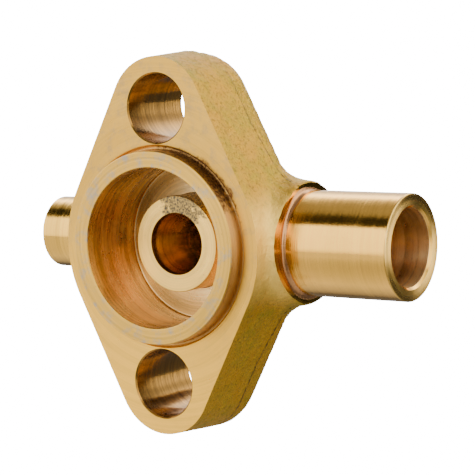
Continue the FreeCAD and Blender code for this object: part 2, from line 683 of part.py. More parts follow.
def make_lever():
    """Forged lever: hub with a square hole and a stop tooth, and a tapering arm along -X."""
    lever = new_body("lever_handle")
    hub = new_sketch(lever, "XZ_Plane", "hub_circle", "-hub_start")
    draw_circle(hub, "hub_radius")
    volume = grow(pad(lever, hub, "lever_back - hub_start", "hub", True), 0.0, "hub")
    arm = new_sketch(lever, "XZ_Plane", "arm_outline", "-lever_start")
    tip = "-lever_length + lever_tip"
    draw_profile(arm, [("0", "-lever_root"), ("0", "lever_root"), (tip, "lever_tip"),
                       (tip, "-lever_tip")])
    volume = grow(pad(lever, arm, "lever_back - lever_start", "arm", True), volume, "arm")
    end = new_sketch(lever, "XZ_Plane", "arm_end_circle", "-lever_start")
    draw_circle(end, "lever_tip", tip)
    volume = grow(pad(lever, end, "lever_back - lever_start", "arm_end", True), volume, "end")
    tooth = new_sketch(lever, "XZ_Plane", "tooth_outline", "-hub_start")
    draw_profile(tooth, [("tooth_root", "-tooth_half"), ("tooth_reach", "-tooth_half"),
                         ("tooth_reach", "tooth_half"), ("tooth_root", "tooth_half")])
    volume = grow(pad(lever, tooth, "stop_top - hub_start", "stop_tooth", True), volume, "tooth")
    square = new_sketch(lever, "XZ_Plane", "square_outline", "-hub_start")
    near = "(spindle_square / 2 + square_clear)"
    draw_profile(square, [("-" + near, "-" + near), (near, "-" + near), (near, near),
                          ("-" + near, near)])
    grow(pocket(lever, square, "lever_back - hub_start + cut_past", "square_hole"), volume, "square")

    grip = new_body("lever_grip")
    wide = "(lever_tip + grip_wall)"
    sleeve = new_sketch(grip, "XZ_Plane", "sleeve_outline", "-lever_start + grip_wall")
    tip = "-grip_end + " + wide
    draw_profile(sleeve, [("-grip_start", "-grip_half"), ("-grip_start", "grip_half"), (tip, wide),
                          (tip, "-" + wide)])
    deep = "lever_back - lever_start + 2 * grip_wall"
    volume = grow(pad(grip, sleeve, deep, "sleeve", True), 0.0, "sleeve")
    end = new_sketch(grip, "XZ_Plane", "sleeve_end", "-lever_start + grip_wall")
    draw_circle(end, wide, tip)
    volume = grow(pad(grip, end, deep, "sleeve_round", True), volume, "sleeve round")
    arm = new_sketch(grip, "XZ_Plane", "arm_space", "-lever_start")
    tip = "-lever_length + lever_tip"
    draw_profile(arm, [("0", "-lever_root"), ("0", "lever_root"), (tip, "lever_tip"),
                       (tip, "-lever_tip")])
    volume = grow(pocket(grip, arm, "lever_back - lever_start", "arm_slot"), volume, "arm slot")
    end = new_sketch(grip, "XZ_Plane", "arm_end_space", "-lever_start")
    draw_circle(end, "lever_tip", tip)
    grow(pocket(grip, end, "lever_back - lever_start", "arm_end_slot"), volume, "arm end slot")

    ring = washer_ring("thread_radius + hole_clear", "lever_washer", "lever_back", "lever_washer_high")
    washer = turned("lever_washer_plain", ring)
    seat = "lever_back + lever_washer_high"
    hexagon = hexagon_at("lever_nut_hex", "lever_nut", seat, "lever_nut_high")
    nut = drilled("lever_nut_plain", hexagon, "thread_radius", seat, seat + " + lever_nut_high")
    nut.Label = "lever_nut"
    washer.Label = "lever_washer"
    return [lever, grip, washer, nut]


# ---------------------------------------------------------------- grease nipple and bonding screw
def placed_fitting(label, points, sign):
    """A small turned fitting that stands on a spot face of the barrel."""
    body = new_body(label)
    sketch = new_sketch(body, "XZ_Plane", label + "_profile")
    draw_profile(sketch, points)
    revolve(body, sketch, "V_Axis", label + "_turning")
    turn = fitting_turn(sign)
    along = turn.multVec(FreeCAD.Vector(0, 0, 1))
    middle = FreeCAD.Vector(0, size("fitting_depth"), 0)
    body.Placement = FreeCAD.Placement(along * size("spot_face") + middle, turn)
    return body


def make_fittings():
    """Grease nipple for the plug, and the screw and washer that take the bonding wire."""
    nipple = placed_fitting("grease_nipple", [
        ("0", "-fitting_deep"),
        ("nipple_radius", "-fitting_deep"),
        ("nipple_radius", "0"),
        ("nipple_shoulder", "0"),
        ("nipple_shoulder", "nipple_shoulder_high"),
        ("nipple_cone", "nipple_cone_high"),
        ("nipple_waist", "nipple_waist_high"),
        ("nipple_head", "nipple_head_low"),
        ("nipple_head", "nipple_head_high"),
        ("nipple_tip", "nipple_high"),
        ("0", "nipple_high"),
    ], 1)
    washer = placed_fitting("bonding_washer", [
        ("screw_radius + hole_clear", "0"),
        ("bond_washer", "0"),
        ("bond_washer", "thin_washer"),
        ("screw_radius + hole_clear", "thin_washer"),
    ], -1)
    screw = placed_fitting("bonding_screw", [
        ("0", "-fitting_deep"),
        ("screw_radius", "-fitting_deep"),
        ("screw_radius", "thin_washer"),
        ("screw_head", "thin_washer"),
        ("screw_head", "thin_washer + screw_rim"),
        ("screw_crown", "thin_washer + screw_crown_high"),
        ("0", "thin_washer + screw_high"),
    ], -1)
    return [nipple, washer, screw]


# ---------------------------------------------------------------- build, check and write
def main():
    """Build every sub-part, check it and write one STEP file for each."""
    parts = [make_body_casting()]
    parts += make_spigots()
    parts.append(make_plug())
    parts += make_gland()
    parts += make_keep_fasteners()
    parts += make_spring_stack()
    parts += make_lever()
    parts += make_fittings()
    doc.recompute()
    for thing in doc.Objects:
        if "Invalid" in thing.State or "Error" in thing.State:
            raise RuntimeError("%s failed: %s" % (thing.Name, thing.State))
    for part in parts:
        if part.Shape.isNull() or not part.Shape.isValid():
            raise RuntimeError("%s has no valid shape" % part.Label)
    os.makedirs("parts", exist_ok=True)
    for part in parts:
        part.Shape.exportStep("parts/%s.step" % part.Label)
        box = part.Shape.BoundBox
        print("%-22s %8.1f mm3  %d solid  x %.1f %.1f  y %.1f %.1f  z %.1f %.1f" % (
            part.Label, part.Shape.Volume, len(part.Shape.Solids), box.XMin, box.XMax,
            box.YMin, box.YMax, box.ZMin, box.ZMax))


main()
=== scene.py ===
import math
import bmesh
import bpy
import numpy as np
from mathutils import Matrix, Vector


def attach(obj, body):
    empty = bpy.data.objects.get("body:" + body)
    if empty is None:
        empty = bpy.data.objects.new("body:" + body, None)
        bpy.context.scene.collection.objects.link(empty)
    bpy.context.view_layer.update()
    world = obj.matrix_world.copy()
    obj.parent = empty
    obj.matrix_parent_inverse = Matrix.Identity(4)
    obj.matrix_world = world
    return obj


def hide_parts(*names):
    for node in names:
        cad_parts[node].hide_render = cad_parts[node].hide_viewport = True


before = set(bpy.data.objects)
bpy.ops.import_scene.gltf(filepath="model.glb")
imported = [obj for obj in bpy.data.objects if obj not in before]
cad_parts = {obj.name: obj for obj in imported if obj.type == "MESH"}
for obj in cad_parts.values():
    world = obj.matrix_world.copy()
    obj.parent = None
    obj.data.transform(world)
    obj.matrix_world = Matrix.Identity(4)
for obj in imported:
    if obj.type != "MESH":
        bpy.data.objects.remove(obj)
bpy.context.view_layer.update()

# %% [markdown]
# # A seacock body with its rotating plug
#
# A cast gunmetal body bolts to the hull with its open chamber facing the sea. A hollow taper plug
# turns in it, and a lever on the far side works the plug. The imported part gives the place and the
# size of every piece. This lesson builds the finished look of those pieces in the same frame:
# +Y runs from the mounting face into the boat, +X towards the delivery spigot, +Z up.
# Lengths are in millimetres until a mesh is made.

MM = 0.001

# %% [markdown]
# ## Dimensions
#
# The same figures as the part's own sheet, so that a finished piece fills the place of the plain
# one. They're kept together, because a bore and the piece that turns in it share most of them.

# %% Dimensions in millimetres
PIPE = 18.4                              # mounting face to the axis of both spigots
THICK = 18.9                             # flange
PARTING = 15.4                           # mounting face to the mould's parting plane
WAIST, END, CENTRE = 25.4, 12.6, 27.95   # flange outline at the parting plane
BOLT, BOLT_HOLE = 28.75, 7.13
RING, RING_HIGH = 20.1, 3.05
RELIEF, RELIEF_DEEP = 21.0, 1.0
CHAMBER, CHAMBER_DEEP = 16.7, 13.3
BARREL, BARREL_END = 16.1, 32.0
BOX, BOX_FLOOR = 7.6, 27.4               # packing box
LUG, LUG_OUT = 16.4, 4.9                 # lugs for the keep plate's studs
DELIVERY_BOSS, DELIVERY_FACE, DELIVERY_SEAT, DELIVERY_NECK = 13.0, 25.5, 18.6, 10.8
DRAIN_BOSS, DRAIN_FACE, DRAIN_SEAT, DRAIN_NECK = 9.7, 27.0, 21.5, 7.65
PASSAGE = 4.2
WELL, WELL_X = 1.5, 12.6                 # drilling from the chamber floor to the drain
PLUG, PLUG_TAIL, PLUG_FRONT, PLUG_BACK = 10.15, 9.55, 5.88, 25.3
PLUG_BORE, THROAT = 6.52, 3.7
SPINDLE, SQUARE, THREAD = 4.5, 6.3, 3.0
FITTING, SPOT = 24.4, 15.6               # depth of the small fittings, and their spot faces
STUD, STUD_HOLE, WASHER = 2.0, 2.2, 0.8
PLATE, PLATE_THICK, PLATE_WAIST, PLATE_END = 32.0, 3.5, 14.0, 4.95
STOP, STOP_CIRCLE, STOP_TOP = 1.25, 11.3, 40.0
HUB, HUB_START, LEVER_START, LEVER_BACK = 9.0, 37.6, 41.0, 45.0

# %% [markdown]
# ## Meshes from grids
#
# Nearly every piece here was turned on a lathe, so its surface is a profile carried round an
# axis. A modifier could spin a curve, but a grid of points worked out in one go also lets the
# radius depend on the angle, which gives threads, squares and hexagons from the same function.
# Columns go round the piece. Rows either close on themselves, as in a tube, or run from one
# pole to the other, as in a solid bar.

# %% Grid to mesh
MERGE = 2e-7      # metres within which two points are one
CRISP = 32.0      # degrees between faces that still look like an edge


def skin(name, grid, loop=False, sharp=CRISP):
    """Join grid[row, column] to its neighbours with four-sided faces. Columns always close; rows
    close when loop is true. Points that coincide are merged, and the faces are turned outward by
    the sign of the volume: a sixth of the sum of each triangle's a . (b x c)."""
    rows, columns = grid.shape[:2]
    number = np.arange(rows * columns).reshape(rows, columns)
    upper = np.vstack([number[1:], number[:1]]) if loop else number[1:]
    lower = number if loop else number[:-1]
    faces = np.stack([lower, np.roll(lower, -1, 1), np.roll(upper, -1, 1), upper], -1).reshape(-1, 4)
    points = grid.reshape(-1, 3) * MM
    a, b, c, d = (points[faces[:, k]] for k in range(4))
    volume = (a * np.cross(b, c)).sum() + (a * np.cross(c, d)).sum()
    if volume < 0:
        faces = faces[:, ::-1]
    mesh = bpy.data.meshes.new(name)
    mesh.from_pydata(points.tolist(), [], faces.tolist())
    tidy = bmesh.new()
    tidy.from_mesh(mesh)
    bmesh.ops.remove_doubles(tidy, verts=tidy.verts, dist=MERGE)
    tidy.to_mesh(mesh)
    tidy.free()
    smooth(mesh, sharp)
    piece = bpy.data.objects.new(name, mesh)
    bpy.context.scene.collection.objects.link(piece)
    return piece


def smooth(mesh, sharp):
    """Shade every face smooth, and keep an edge crisp where its faces meet at more than sharp
    degrees."""
    mesh.polygons.foreach_set("use_smooth", np.ones(len(mesh.polygons), bool))
    mesh.set_sharp_from_angle(angle=math.radians(sharp))


def face_centres(mesh):
    """Middle of every face, in millimetres."""
    centres = np.empty(len(mesh.polygons) * 3)
    mesh.polygons.foreach_get("center", centres)
    return centres.reshape(-1, 3) / MM


# %% Profiles with eased corners
LONGEST = 0.49            # share of a straight run that one ease may take
BESIDE, MOST = 0.3, 0.1   # share of the rest, and millimetres of it, for the point beside an arc


def eased(corners, closed=False, steps=5):
    """Polyline through corners (radius, along, ease). A corner with an ease becomes an arc of that
    radius that touches both straight runs, with one more point just outside each end of the arc,
    so that the flat beside it is shaded flat."""
    out = []
    count = len(corners)
    for index, (r, a, ease) in enumerate(corners):
        here = np.array([r, a], float)
        if ease <= 0 or (not closed and index in (0, count - 1)):
            out.append(here[None])
            continue
        before = np.array(corners[index - 1][:2]) - here
        after = np.array(corners[(index + 1) % count][:2]) - here
        long_before, long_after = np.linalg.norm(before), np.linalg.norm(after)
        before, after = before / long_before, after / long_after
        half = math.acos(float(np.clip(before @ after, -1, 1))) / 2
        reach = min(ease / math.tan(half), LONGEST * long_before, LONGEST * long_after)
        ease = reach * math.tan(half)
        middle = here + (before + after) / np.linalg.norm(before + after) * ease / math.sin(half)
        first, last = here + before * reach - middle, here + after * reach - middle
        share = np.linspace(0, 1, steps)[:, None]
        arc = first * (1 - share) + last * share
        arc *= ease / np.linalg.norm(arc, axis=1, keepdims=True)
        room = BESIDE * min(long_before - reach, long_after - reach, MOST)
        out.append(np.vstack([middle + first + before * room, middle + arc, middle + last + after * room]))
    return np.vstack(out)


# %% Lathe
def turned(profile, columns=192, axis="y", centre=(0, 0, 0), radius=None, start=0.0):
    """Grid of a profile (radius, along) carried round an axis: the point at angle t is
    centre + radius * (cos t, sin t) across the axis + along * axis. A radius function changes the
    radius with (angle, along, radius). The first column stands at the start angle."""
    angle = np.linspace(0, math.tau, columns, endpoint=False)[None, :] + start
    far, along = profile[:, :1] + 0 * angle, profile[:, 1:] + 0 * angle
    if radius is not None:
        far = radius(angle + 0 * far, along, far)
    across, up = far * np.cos(angle), far * np.sin(angle)
    order = {"y": (across, along, up), "x": (along, across, up)}[axis]
    return np.stack(order, -1) + np.array(centre, float)


def placed(grid, centre):
    """Move a grid by a point in millimetres."""
    return grid + np.array(centre, float)


def wander(points, wave, seed, waves=24):
    """A smooth random field at each point, about -1 to 1: the mean of cosines whose directions and
    phases are drawn from a seed and whose wavelengths lie within a third of wave."""
    draw = np.random.default_rng(seed)
    way = draw.normal(size=(waves, 3))
    way /= np.linalg.norm(way, axis=1, keepdims=True)
    way *= math.tau / (wave * draw.uniform(0.67, 1.33, (waves, 1)))
    phase = draw.uniform(0, math.tau, waves)
    return sum(np.cos(points @ w + p) for w, p in zip(way, phase)) / math.sqrt(waves / 2)


print("a circle of 8 points:", turned(np.array([[1.0, 0.0]]), 8).shape)

# %% [markdown]
# ## Colours and nodes
#
# Colours are written as sRGB hex and turned into linear light by one function. One more function
# adds a shader node with its settings and links, so a material reads as a list of steps.

# %% Colour and node helpers
def linear(code):
    """sRGB hex to linear RGBA: c / 12.92 below 0.04045, otherwise ((c + 0.055) / 1.055) ^ 2.4."""
    parts = [int(code[k:k + 2], 16) / 255 for k in (0, 2, 4)]
    return tuple(c / 12.92 if c <= 0.04045 else ((c + 0.055) / 1.055) ** 2.4 for c in parts) + (1.0,)


def grey(v):
    """A grey of linear value v."""
    return (v, v, v, 1.0)


def node(tree, kind, inputs, out=0, **settings):
    """Add one node and return one of its outputs. Inputs maps a socket's name or number to a value
    or to another node's output, and settings are the node's own properties."""
    made = tree.nodes.new("ShaderNode" + kind)
    for key, value in settings.items():
        setattr(made, key, value)
    for key, value in inputs.items():
        if isinstance(value, bpy.types.NodeSocket):
            tree.links.new(value, made.inputs[key])
        else:
            made.inputs[key].default_value = value
    return made.outputs[out]


def new_material(name):
    """A material, its node tree, its Principled shader and the object's own position in mm."""
    material = bpy.data.materials.new(name)
    material.use_nodes = True
    tree = material.node_tree
    metres = node(tree, "TexCoord", {}, "Object")
    place = node(tree, "VectorMath", {0: metres, "Scale": 1 / MM}, operation="SCALE")
    return material, tree, tree.nodes["Principled BSDF"], place


def finish_shader(tree, shader, rough, height, relief):
    """Link the roughness, and a bump whose height of 1 stands relief millimetres tall."""
    tree.links.new(rough, shader.inputs["Roughness"])
    bump = node(tree, "Bump", {"Strength": 1.0, "Distance": relief * MM, "Height": height})
    tree.links.new(bump, shader.inputs["Normal"])


print("bronze in linear light:", [round(v, 3) for v in linear("D19F3E")])

# %% [markdown]
# ## Turned and drilled metal
#
# A lathe tool leaves fine rings round the axis. They scatter light across themselves and hardly
# at all along themselves, which draws a highlight out into a band. Modelling them would take
# millions of faces, so they're noise read at (distance from the axis, place along the axis),
# and the band is the shader's own anisotropy. Real feed marks are finer than these, which are
# drawn 0.4 to 0.8 mm apart so that they show.

# %% How coarse each pattern is, in features to a millimetre
WAVER = 0.05     # the tool's slow drift
CLOUD = 0.11     # cleaner and duller places
SMEAR = 0.30     # grey handling marks
GRIT = 2.2       # pits and grains


# %% Rings left by a tool
def tool_rings(tree, place, axis, fine):
    """Distance from the axis, and two noises that hardly change round it: fine marks and broad
    bands. Both are read at (distance, place along the axis), bent a little by a slow waver."""
    across = node(tree, "VectorMath", {0: axis, 1: place}, operation="CROSS_PRODUCT")
    off_axis = node(tree, "VectorMath", {0: across}, "Value", operation="LENGTH")
    along = node(tree, "VectorMath", {0: place, 1: axis}, "Value", operation="DOT_PRODUCT")
    waver = node(tree, "TexNoise", {"Vector": place, "Scale": WAVER, "Detail": 0.0, "Roughness": 0.5})
    bent = node(tree, "Math", {0: waver, 1: 0.6, 2: off_axis}, operation="MULTIPLY_ADD")
    twisted = node(tree, "Math", {0: waver, 1: 2.0}, operation="MULTIPLY")
    rings = node(tree, "CombineXYZ", {"X": bent, "Y": along, "Z": twisted})
    marks = node(tree, "TexNoise", {"Vector": rings, "Scale": fine, "Detail": 3.0, "Roughness": 0.6})
    broad = node(tree, "TexNoise", {"Vector": rings, "Scale": fine * 0.28, "Detail": 2.0, "Roughness": 0.5})
    return across, off_axis, marks, broad


# %% A darker tone on one side of an axis: painted shade in the groove, dark patches on the face and the plug
def tone_on_one_side(tree, colour, place, axis, off_axis, grit, way, start, end, inner, outer, tone, clump):
    """Mix in a tone where the direction from the axis lies near way (its cosine runs from start to
    end) and the distance from the axis is under inner to outer, with an edge broken up by noise of
    clump features to a millimetre."""
    flat = node(tree, "VectorMath", {0: place, 1: axis}, operation="MULTIPLY")
    flat = node(tree, "VectorMath", {0: place, 1: flat}, operation="SUBTRACT")
    flat = node(tree, "VectorMath", {0: flat}, operation="NORMALIZE")
    toward = node(tree, "VectorMath", {0: flat, 1: way}, "Value", operation="DOT_PRODUCT")
    near_way = node(tree, "MapRange", {0: toward, 1: start, 2: end})
    far_out = node(tree, "MapRange", {0: off_axis, 1: inner, 2: outer})
    reach = node(tree, "Math", {0: near_way, 1: far_out}, operation="SUBTRACT")
    edge_noise = node(tree, "TexNoise", {"Vector": place, "Scale": clump, "Detail": 4.0, "Roughness": 0.7})
    edge_noise = node(tree, "MapRange", {0: edge_noise, 1: 0.0, 2: 1.0, 3: -1.2, 4: 1.2})
    edge = node(tree, "Math", {0: reach, 1: edge_noise}, operation="ADD")
    side_share = node(tree, "MapRange", {0: edge, 1: 0.40, 2: 0.72})
    grainy = node(tree, "MapRange", {0: grit, 1: 0.40, 2: 0.60, 3: 0.55, 4: 1.0})
    share = node(tree, "Math", {0: side_share, 1: grainy}, operation="MULTIPLY")
    return node(tree, "Mix", {0: share, 6: colour, 7: tone}, 2, data_type="RGBA")


# %% The turned metal itself
def turned_metal(name, base, rough=0.3, axis=(0, 1, 0), centre=(0, 0, 0), fine=2.4, relief=0.012,
                 smudge=0.0, smudge_colour=grey(0.0), grain=0.75, uneven=0.10, tint=None,
                 grit_share=0.35, side_tone=None, painted_light_low=None, streak=0.25, film=0.0):
    """Bare metal with rings left by a tool. The tangent is axis x position, turned a quarter round
    the normal, so that the highlight spreads across the rings. A slow noise gives cleaner and
    duller places, specks of a fine one are small pits, and streak darkens the worn rings. A film
    is the thin oil left inside a bore."""
    material, tree, shader, place = new_material(name)
    place = node(tree, "VectorMath", {0: place, 1: centre}, operation="SUBTRACT")
    across, off_axis, marks, broad = tool_rings(tree, place, axis, fine)
    cloud = node(tree, "TexNoise", {"Vector": place, "Scale": CLOUD, "Detail": 3.0, "Roughness": 0.6})
    grit = node(tree, "TexNoise", {"Vector": place, "Scale": GRIT, "Detail": 3.0, "Roughness": 0.6})

    shares = [(node(tree, "MapRange", {0: cloud, 1: 0.35, 2: 0.7}), tint or base)]
    if smudge > 0:
        smear = node(tree, "TexNoise", {"Vector": place, "Scale": SMEAR, "Detail": 4.0, "Roughness": 0.72})
        shares.append((node(tree, "MapRange", {0: smear, 1: 0.50, 2: 0.68, 4: smudge}), smudge_colour))
    # Painted light: lighter and warmer towards the bottom.
    if painted_light_low is not None:
        high = node(tree, "SeparateXYZ", {0: place}, "Z")
        shares.append((node(tree, "MapRange", {0: high, 1: 12.0, 2: -30.0}), painted_light_low))
    worn = node(tree, "Math", {0: marks, 1: broad}, operation="ADD")
    shares.append((node(tree, "MapRange", {0: worn, 1: 0.76, 2: 1.12, 3: streak, 4: 0.0}), grey(0.0)))
    shares.append((node(tree, "MapRange", {0: grit, 1: 0.66, 2: 0.74, 4: 0.45}), grey(0.02)))
    colour = base
    for share, tone in shares:
        colour = node(tree, "Mix", {0: share, 6: colour, 7: tone}, 2, data_type="RGBA")
    if side_tone is not None:
        colour = tone_on_one_side(tree, colour, place, axis, off_axis, grit, **side_tone)

    swing = node(tree, "Math", {0: cloud, 1: 3 * uneven, 2: rough - 2.5 * uneven}, operation="MULTIPLY_ADD")
    dull = node(tree, "Math", {0: broad, 1: 2 * uneven, 2: swing}, operation="MULTIPLY_ADD")
    height = node(tree, "Math", {0: broad, 1: 2.0, 2: marks}, operation="MULTIPLY_ADD")
    height = node(tree, "Math", {0: grit, 1: grit_share, 2: height}, operation="MULTIPLY_ADD")
    tree.links.new(colour, shader.inputs["Base Color"])
    finish_shader(tree, shader, dull, height, relief)
    shader.inputs["Metallic"].default_value = 1.0
    shader.inputs["Coat Weight"].default_value = film
    shader.inputs["Coat Roughness"].default_value = 0.3
    shader.inputs["Anisotropic"].default_value = grain
    shader.inputs["Anisotropic Rotation"].default_value = 0.25
    tree.links.new(node(tree, "VectorMath", {0: across}, operation="NORMALIZE"), shader.inputs["Tangent"])
    return material


# %% [markdown]
# ## The bronzes
#
# Gunmetal is a yellow-brown bronze. Fresh from the tool it's pale and bright, inside a bore it sees mostly
# itself and looks deep orange, and just outside the ring's upper right the face is dark brown and the groove
# has painted shade.
# Each finish below is the same turned metal with its own colour, gloss, axis and marks.

# %% Flange, ring, chamber and bolt holes
BRONZE = linear("D19F3E")         # fresh from the tool
BRONZE_PALE = linear("DAAA48")    # rubbed bright
BORE_SHADED = linear("AA7C35")      # painted shade: a drilled hole sees only itself
faced_gunmetal = turned_metal(    # broad soft arcs, painted light making it lighter and warmer low down, and dark brown just outside the ring at the upper right
    "faced gunmetal", BRONZE, 0.33, tint=BRONZE_PALE, painted_light_low=linear("F6BC45"), streak=0.16,
    smudge=0.45, smudge_colour=linear("857A66"),
    side_tone=dict(way=(0.72, 0.0, 0.69), start=0.70, end=0.98, inner=21.0, outer=22.6,
               tone=linear("6B4426"), clump=0.45))
shaded_groove = turned_metal(    # the groove round the ring, darker brown at its upper right with painted shade
    "groove with painted shade", linear("E7B565"), 0.42, relief=0.02,
    side_tone=dict(way=(0.55, 0.0, 0.83), start=0.70, end=0.98, inner=40.0, outer=50.0,
               tone=linear("5A3A24"), clump=0.4))
ring_gunmetal = turned_metal(     # the ring's end, pale with grey handling marks
    "register ring gunmetal", BRONZE_PALE, 0.34, relief=0.008, smudge=0.8, smudge_colour=linear("9C968A"))
bored_gunmetal = turned_metal(    # coarse rings under a thin film of oil
    "bored gunmetal", linear("FAD089"), 0.28, relief=0.03, fine=1.5, streak=0.42, film=0.3)
drilled_gunmetal = turned_metal(  # coarse drill rings, deep brown because it sees only itself
    "drilled gunmetal", BORE_SHADED, 0.20, relief=0.03, fine=1.2, centre=(0, 0, BOLT), streak=0.5, film=0.12)
drilled_gunmetal_low = turned_metal(   # the same, about its own axis
    "drilled gunmetal, lower hole", BORE_SHADED, 0.20, relief=0.02, fine=1.5, centre=(0, 0, -BOLT),
    streak=0.5, film=0.12)

# %% Plug, keep plate and spigots
plug_bronze = turned_metal(       # bright, with one rough grey patch on the open end
    "plug bronze", linear("FDCB65"), 0.30, relief=0.008,
    side_tone=dict(way=(0.22, 0.0, 0.97), start=0.66, end=0.98, inner=10.6, outer=12.0,
               tone=linear("4A443A"), clump=0.8))
# The plate is faced and left, so it's the dullest of the machined surfaces.
plate_bronze = turned_metal("keep plate bronze", BRONZE, 0.36, relief=0.01)
bored_plug = turned_metal(        # darker than the chamber, with a film of oil
    "bored plug bronze", linear("D7A659"), 0.24, relief=0.03, fine=1.3, streak=0.4, film=0.25)
PIPE_AXIS = dict(axis=(1, 0, 0), centre=(0, PIPE, 0))
tube_bronze = turned_metal(       # polished along its length, so its reflections are crisp bands
    "turned bronze tube", linear("F9BC52"), 0.14, relief=0.018, fine=2.2, tint=linear("F6BC50"),
    streak=0.1, uneven=0.07, grit_share=0.5, **PIPE_AXIS)
# Inside the tubes the boring tool left a duller, paler skin. The faced mouths spread light in a
# strong fan, and the thin drain tube is the glossiest piece.
bore_bronze = turned_metal("bored bronze tube", linear("F6CE90"), 0.34, relief=0.02, fine=1.6, **PIPE_AXIS)
end_bronze = turned_metal("faced tube end", linear("F3C261"), 0.30, relief=0.01, grain=0.95, **PIPE_AXIS)
drain_bronze = turned_metal("drain tube bronze", linear("F3BC50"), 0.12, relief=0.02, fine=2.2, **PIPE_AXIS)

# %% Stainless steel and spring steel
# Both steels are cold grey beside the bronze. The spring was blued a little by its hardening.
stainless = turned_metal("stainless steel", linear("C9CBCC"), 0.28, relief=0.006)
spring_steel = turned_metal("spring steel", linear("8E9299"), 0.30, relief=0.006)
print("turned metals:", len(bpy.data.materials))

# %% [markdown]
# ## Metal as it came from the sand
#
# The flange's side was never machined. Sand leaves a grain of about two thirds of a millimetre
# with dark hollows, and the two halves of the mould leave a seam. The seam's line isn't level:
# it comes forward towards both ends of the flange. Where hands and tools rub the waist, the
# metal is brighter.

# %% Cast skin
SEAM_Z, SEAM_DEPTH = (9.0, 25.0), (15.3, 12.4)   # distance from the middle, and the seam's depth there
SKIN_METAL = 0.85                                # a little dust takes the last of the mirror away
SEAM_LAG = 0.25                                  # the dark line lies this far behind the step
SAND_RELIEF = 0.16                               # height of the sand grain


def cast_skin():
    """Yellow with olive and orange-brown clouds, darker in its hollows and along the seam, brighter
    where the waist is rubbed. The height is sand grain on top of slower swells."""
    material, tree, shader, place = new_material("cast gunmetal skin")
    looks = {}
    for key, scale, detail, rough in (("cloud", 0.10, 4.0, 0.6), ("patch", 0.33, 4.0, 0.65),
                                      ("grain", 1.5, 4.0, 0.65), ("sand", 3.4, 2.0, 0.6)):
        settings = {"Vector": place, "Scale": scale, "Detail": detail, "Roughness": rough}
        looks[key] = node(tree, "TexNoise", settings)
    grain, patch = looks["grain"], looks["patch"]
    x, y, z = (node(tree, "SeparateXYZ", {0: place}, k) for k in "XYZ")
    side = node(tree, "Math", {0: x}, operation="ABSOLUTE")
    end = node(tree, "Math", {0: z}, operation="ABSOLUTE")

    at_waist = node(tree, "MapRange", {0: end, 1: 5.0, 2: 15.0, 3: 1.0, 4: 0.0})
    outside = node(tree, "MapRange", {0: side, 1: 21.0, 2: 24.0})
    forward = node(tree, "MapRange", {0: y, 1: 13.0, 2: 9.0})
    rubbed = node(tree, "Math", {0: at_waist, 1: outside}, operation="MULTIPLY")
    rubbed = node(tree, "Math", {0: rubbed, 1: forward}, operation="MULTIPLY")

    seam = node(tree, "MapRange", {0: end, 1: SEAM_Z[0], 2: SEAM_Z[1], 3: SEAM_DEPTH[0], 4: SEAM_DEPTH[1]})
    wavy = node(tree, "Math", {0: patch, 1: 0.5, 2: y}, operation="MULTIPLY_ADD")
    behind = node(tree, "Math", {0: wavy, 1: seam}, operation="SUBTRACT")
    off_line = node(tree, "Math", {0: behind, 1: SEAM_LAG}, operation="SUBTRACT")
    off_line = node(tree, "Math", {0: off_line}, operation="ABSOLUTE")
    line = node(tree, "MapRange", {0: off_line, 1: 0.12, 2: 0.5, 3: 0.9, 4: 0.0})
    broken = node(tree, "MapRange", {0: grain, 1: 0.42, 2: 0.56, 3: 0.25, 4: 1.0})
    on_flange = node(tree, "MapRange", {0: side, 1: 22.0, 2: 25.0, 3: 1.0, 4: 0.0})
    line = node(tree, "Math", {0: line, 1: broken}, operation="MULTIPLY")
    line = node(tree, "Math", {0: line, 1: on_flange}, operation="MULTIPLY")

    colour = linear("BF911D")
    for share, tone in (
            (node(tree, "MapRange", {0: patch, 1: 0.38, 2: 0.62}), linear("AA8D19")),
            (node(tree, "MapRange", {0: looks["cloud"], 1: 0.42, 2: 0.62, 4: 0.8}), linear("C48D19")),
            (node(tree, "MapRange", {0: grain, 1: 0.52, 2: 0.66, 4: 0.6}), linear("6C5719")),
            (rubbed, linear("FFD465")),
            (line, linear("453212"))):
        colour = node(tree, "Mix", {0: share, 6: colour, 7: tone}, 2, data_type="RGBA")
    rough = node(tree, "MapRange", {0: grain, 1: 0.3, 2: 0.7, 3: 0.38, 4: 0.56})
    height = node(tree, "Math", {0: looks["sand"], 1: 0.5, 2: grain}, operation="MULTIPLY_ADD")
    height = node(tree, "Math", {0: patch, 1: 1.5, 2: height}, operation="MULTIPLY_ADD")
    tree.links.new(colour, shader.inputs["Base Color"])
    finish_shader(tree, shader, rough, height, SAND_RELIEF)
    shader.inputs["Metallic"].default_value = SKIN_METAL
    return material


sand_cast = cast_skin()
print("cast skin nodes:", len(sand_cast.node_tree.nodes))

# %% [markdown]
# ## Plain finishes
#
# Fused solder, greased fibre, moulded acetal, forged bronze and dipped vinyl have no direction
# in them. One colour with a slightly uneven gloss and a fine grain is enough.

# %% One function, five finishes
GLOSS_SWING = 0.06


def plain(name, base, rough, metal=0.0, grain=0.8, relief=0.01):
    """One colour. Roughness swings by GLOSS_SWING with a slow noise, and the bump is a noise of
    grain features to a millimetre."""
    material, tree, shader, place = new_material(name)
    slow = node(tree, "TexNoise", {"Vector": place, "Scale": 0.2, "Detail": 3.0, "Roughness": 0.5})
    fine = node(tree, "TexNoise", {"Vector": place, "Scale": grain, "Detail": 3.0, "Roughness": 0.5})
    gloss = node(tree, "MapRange", {0: slow, 1: 0.3, 2: 0.7, 3: rough - GLOSS_SWING, 4: rough + GLOSS_SWING})
    finish_shader(tree, shader, gloss, fine, relief)
    shader.inputs["Base Color"].default_value = base
    shader.inputs["Metallic"].default_value = metal
    return material


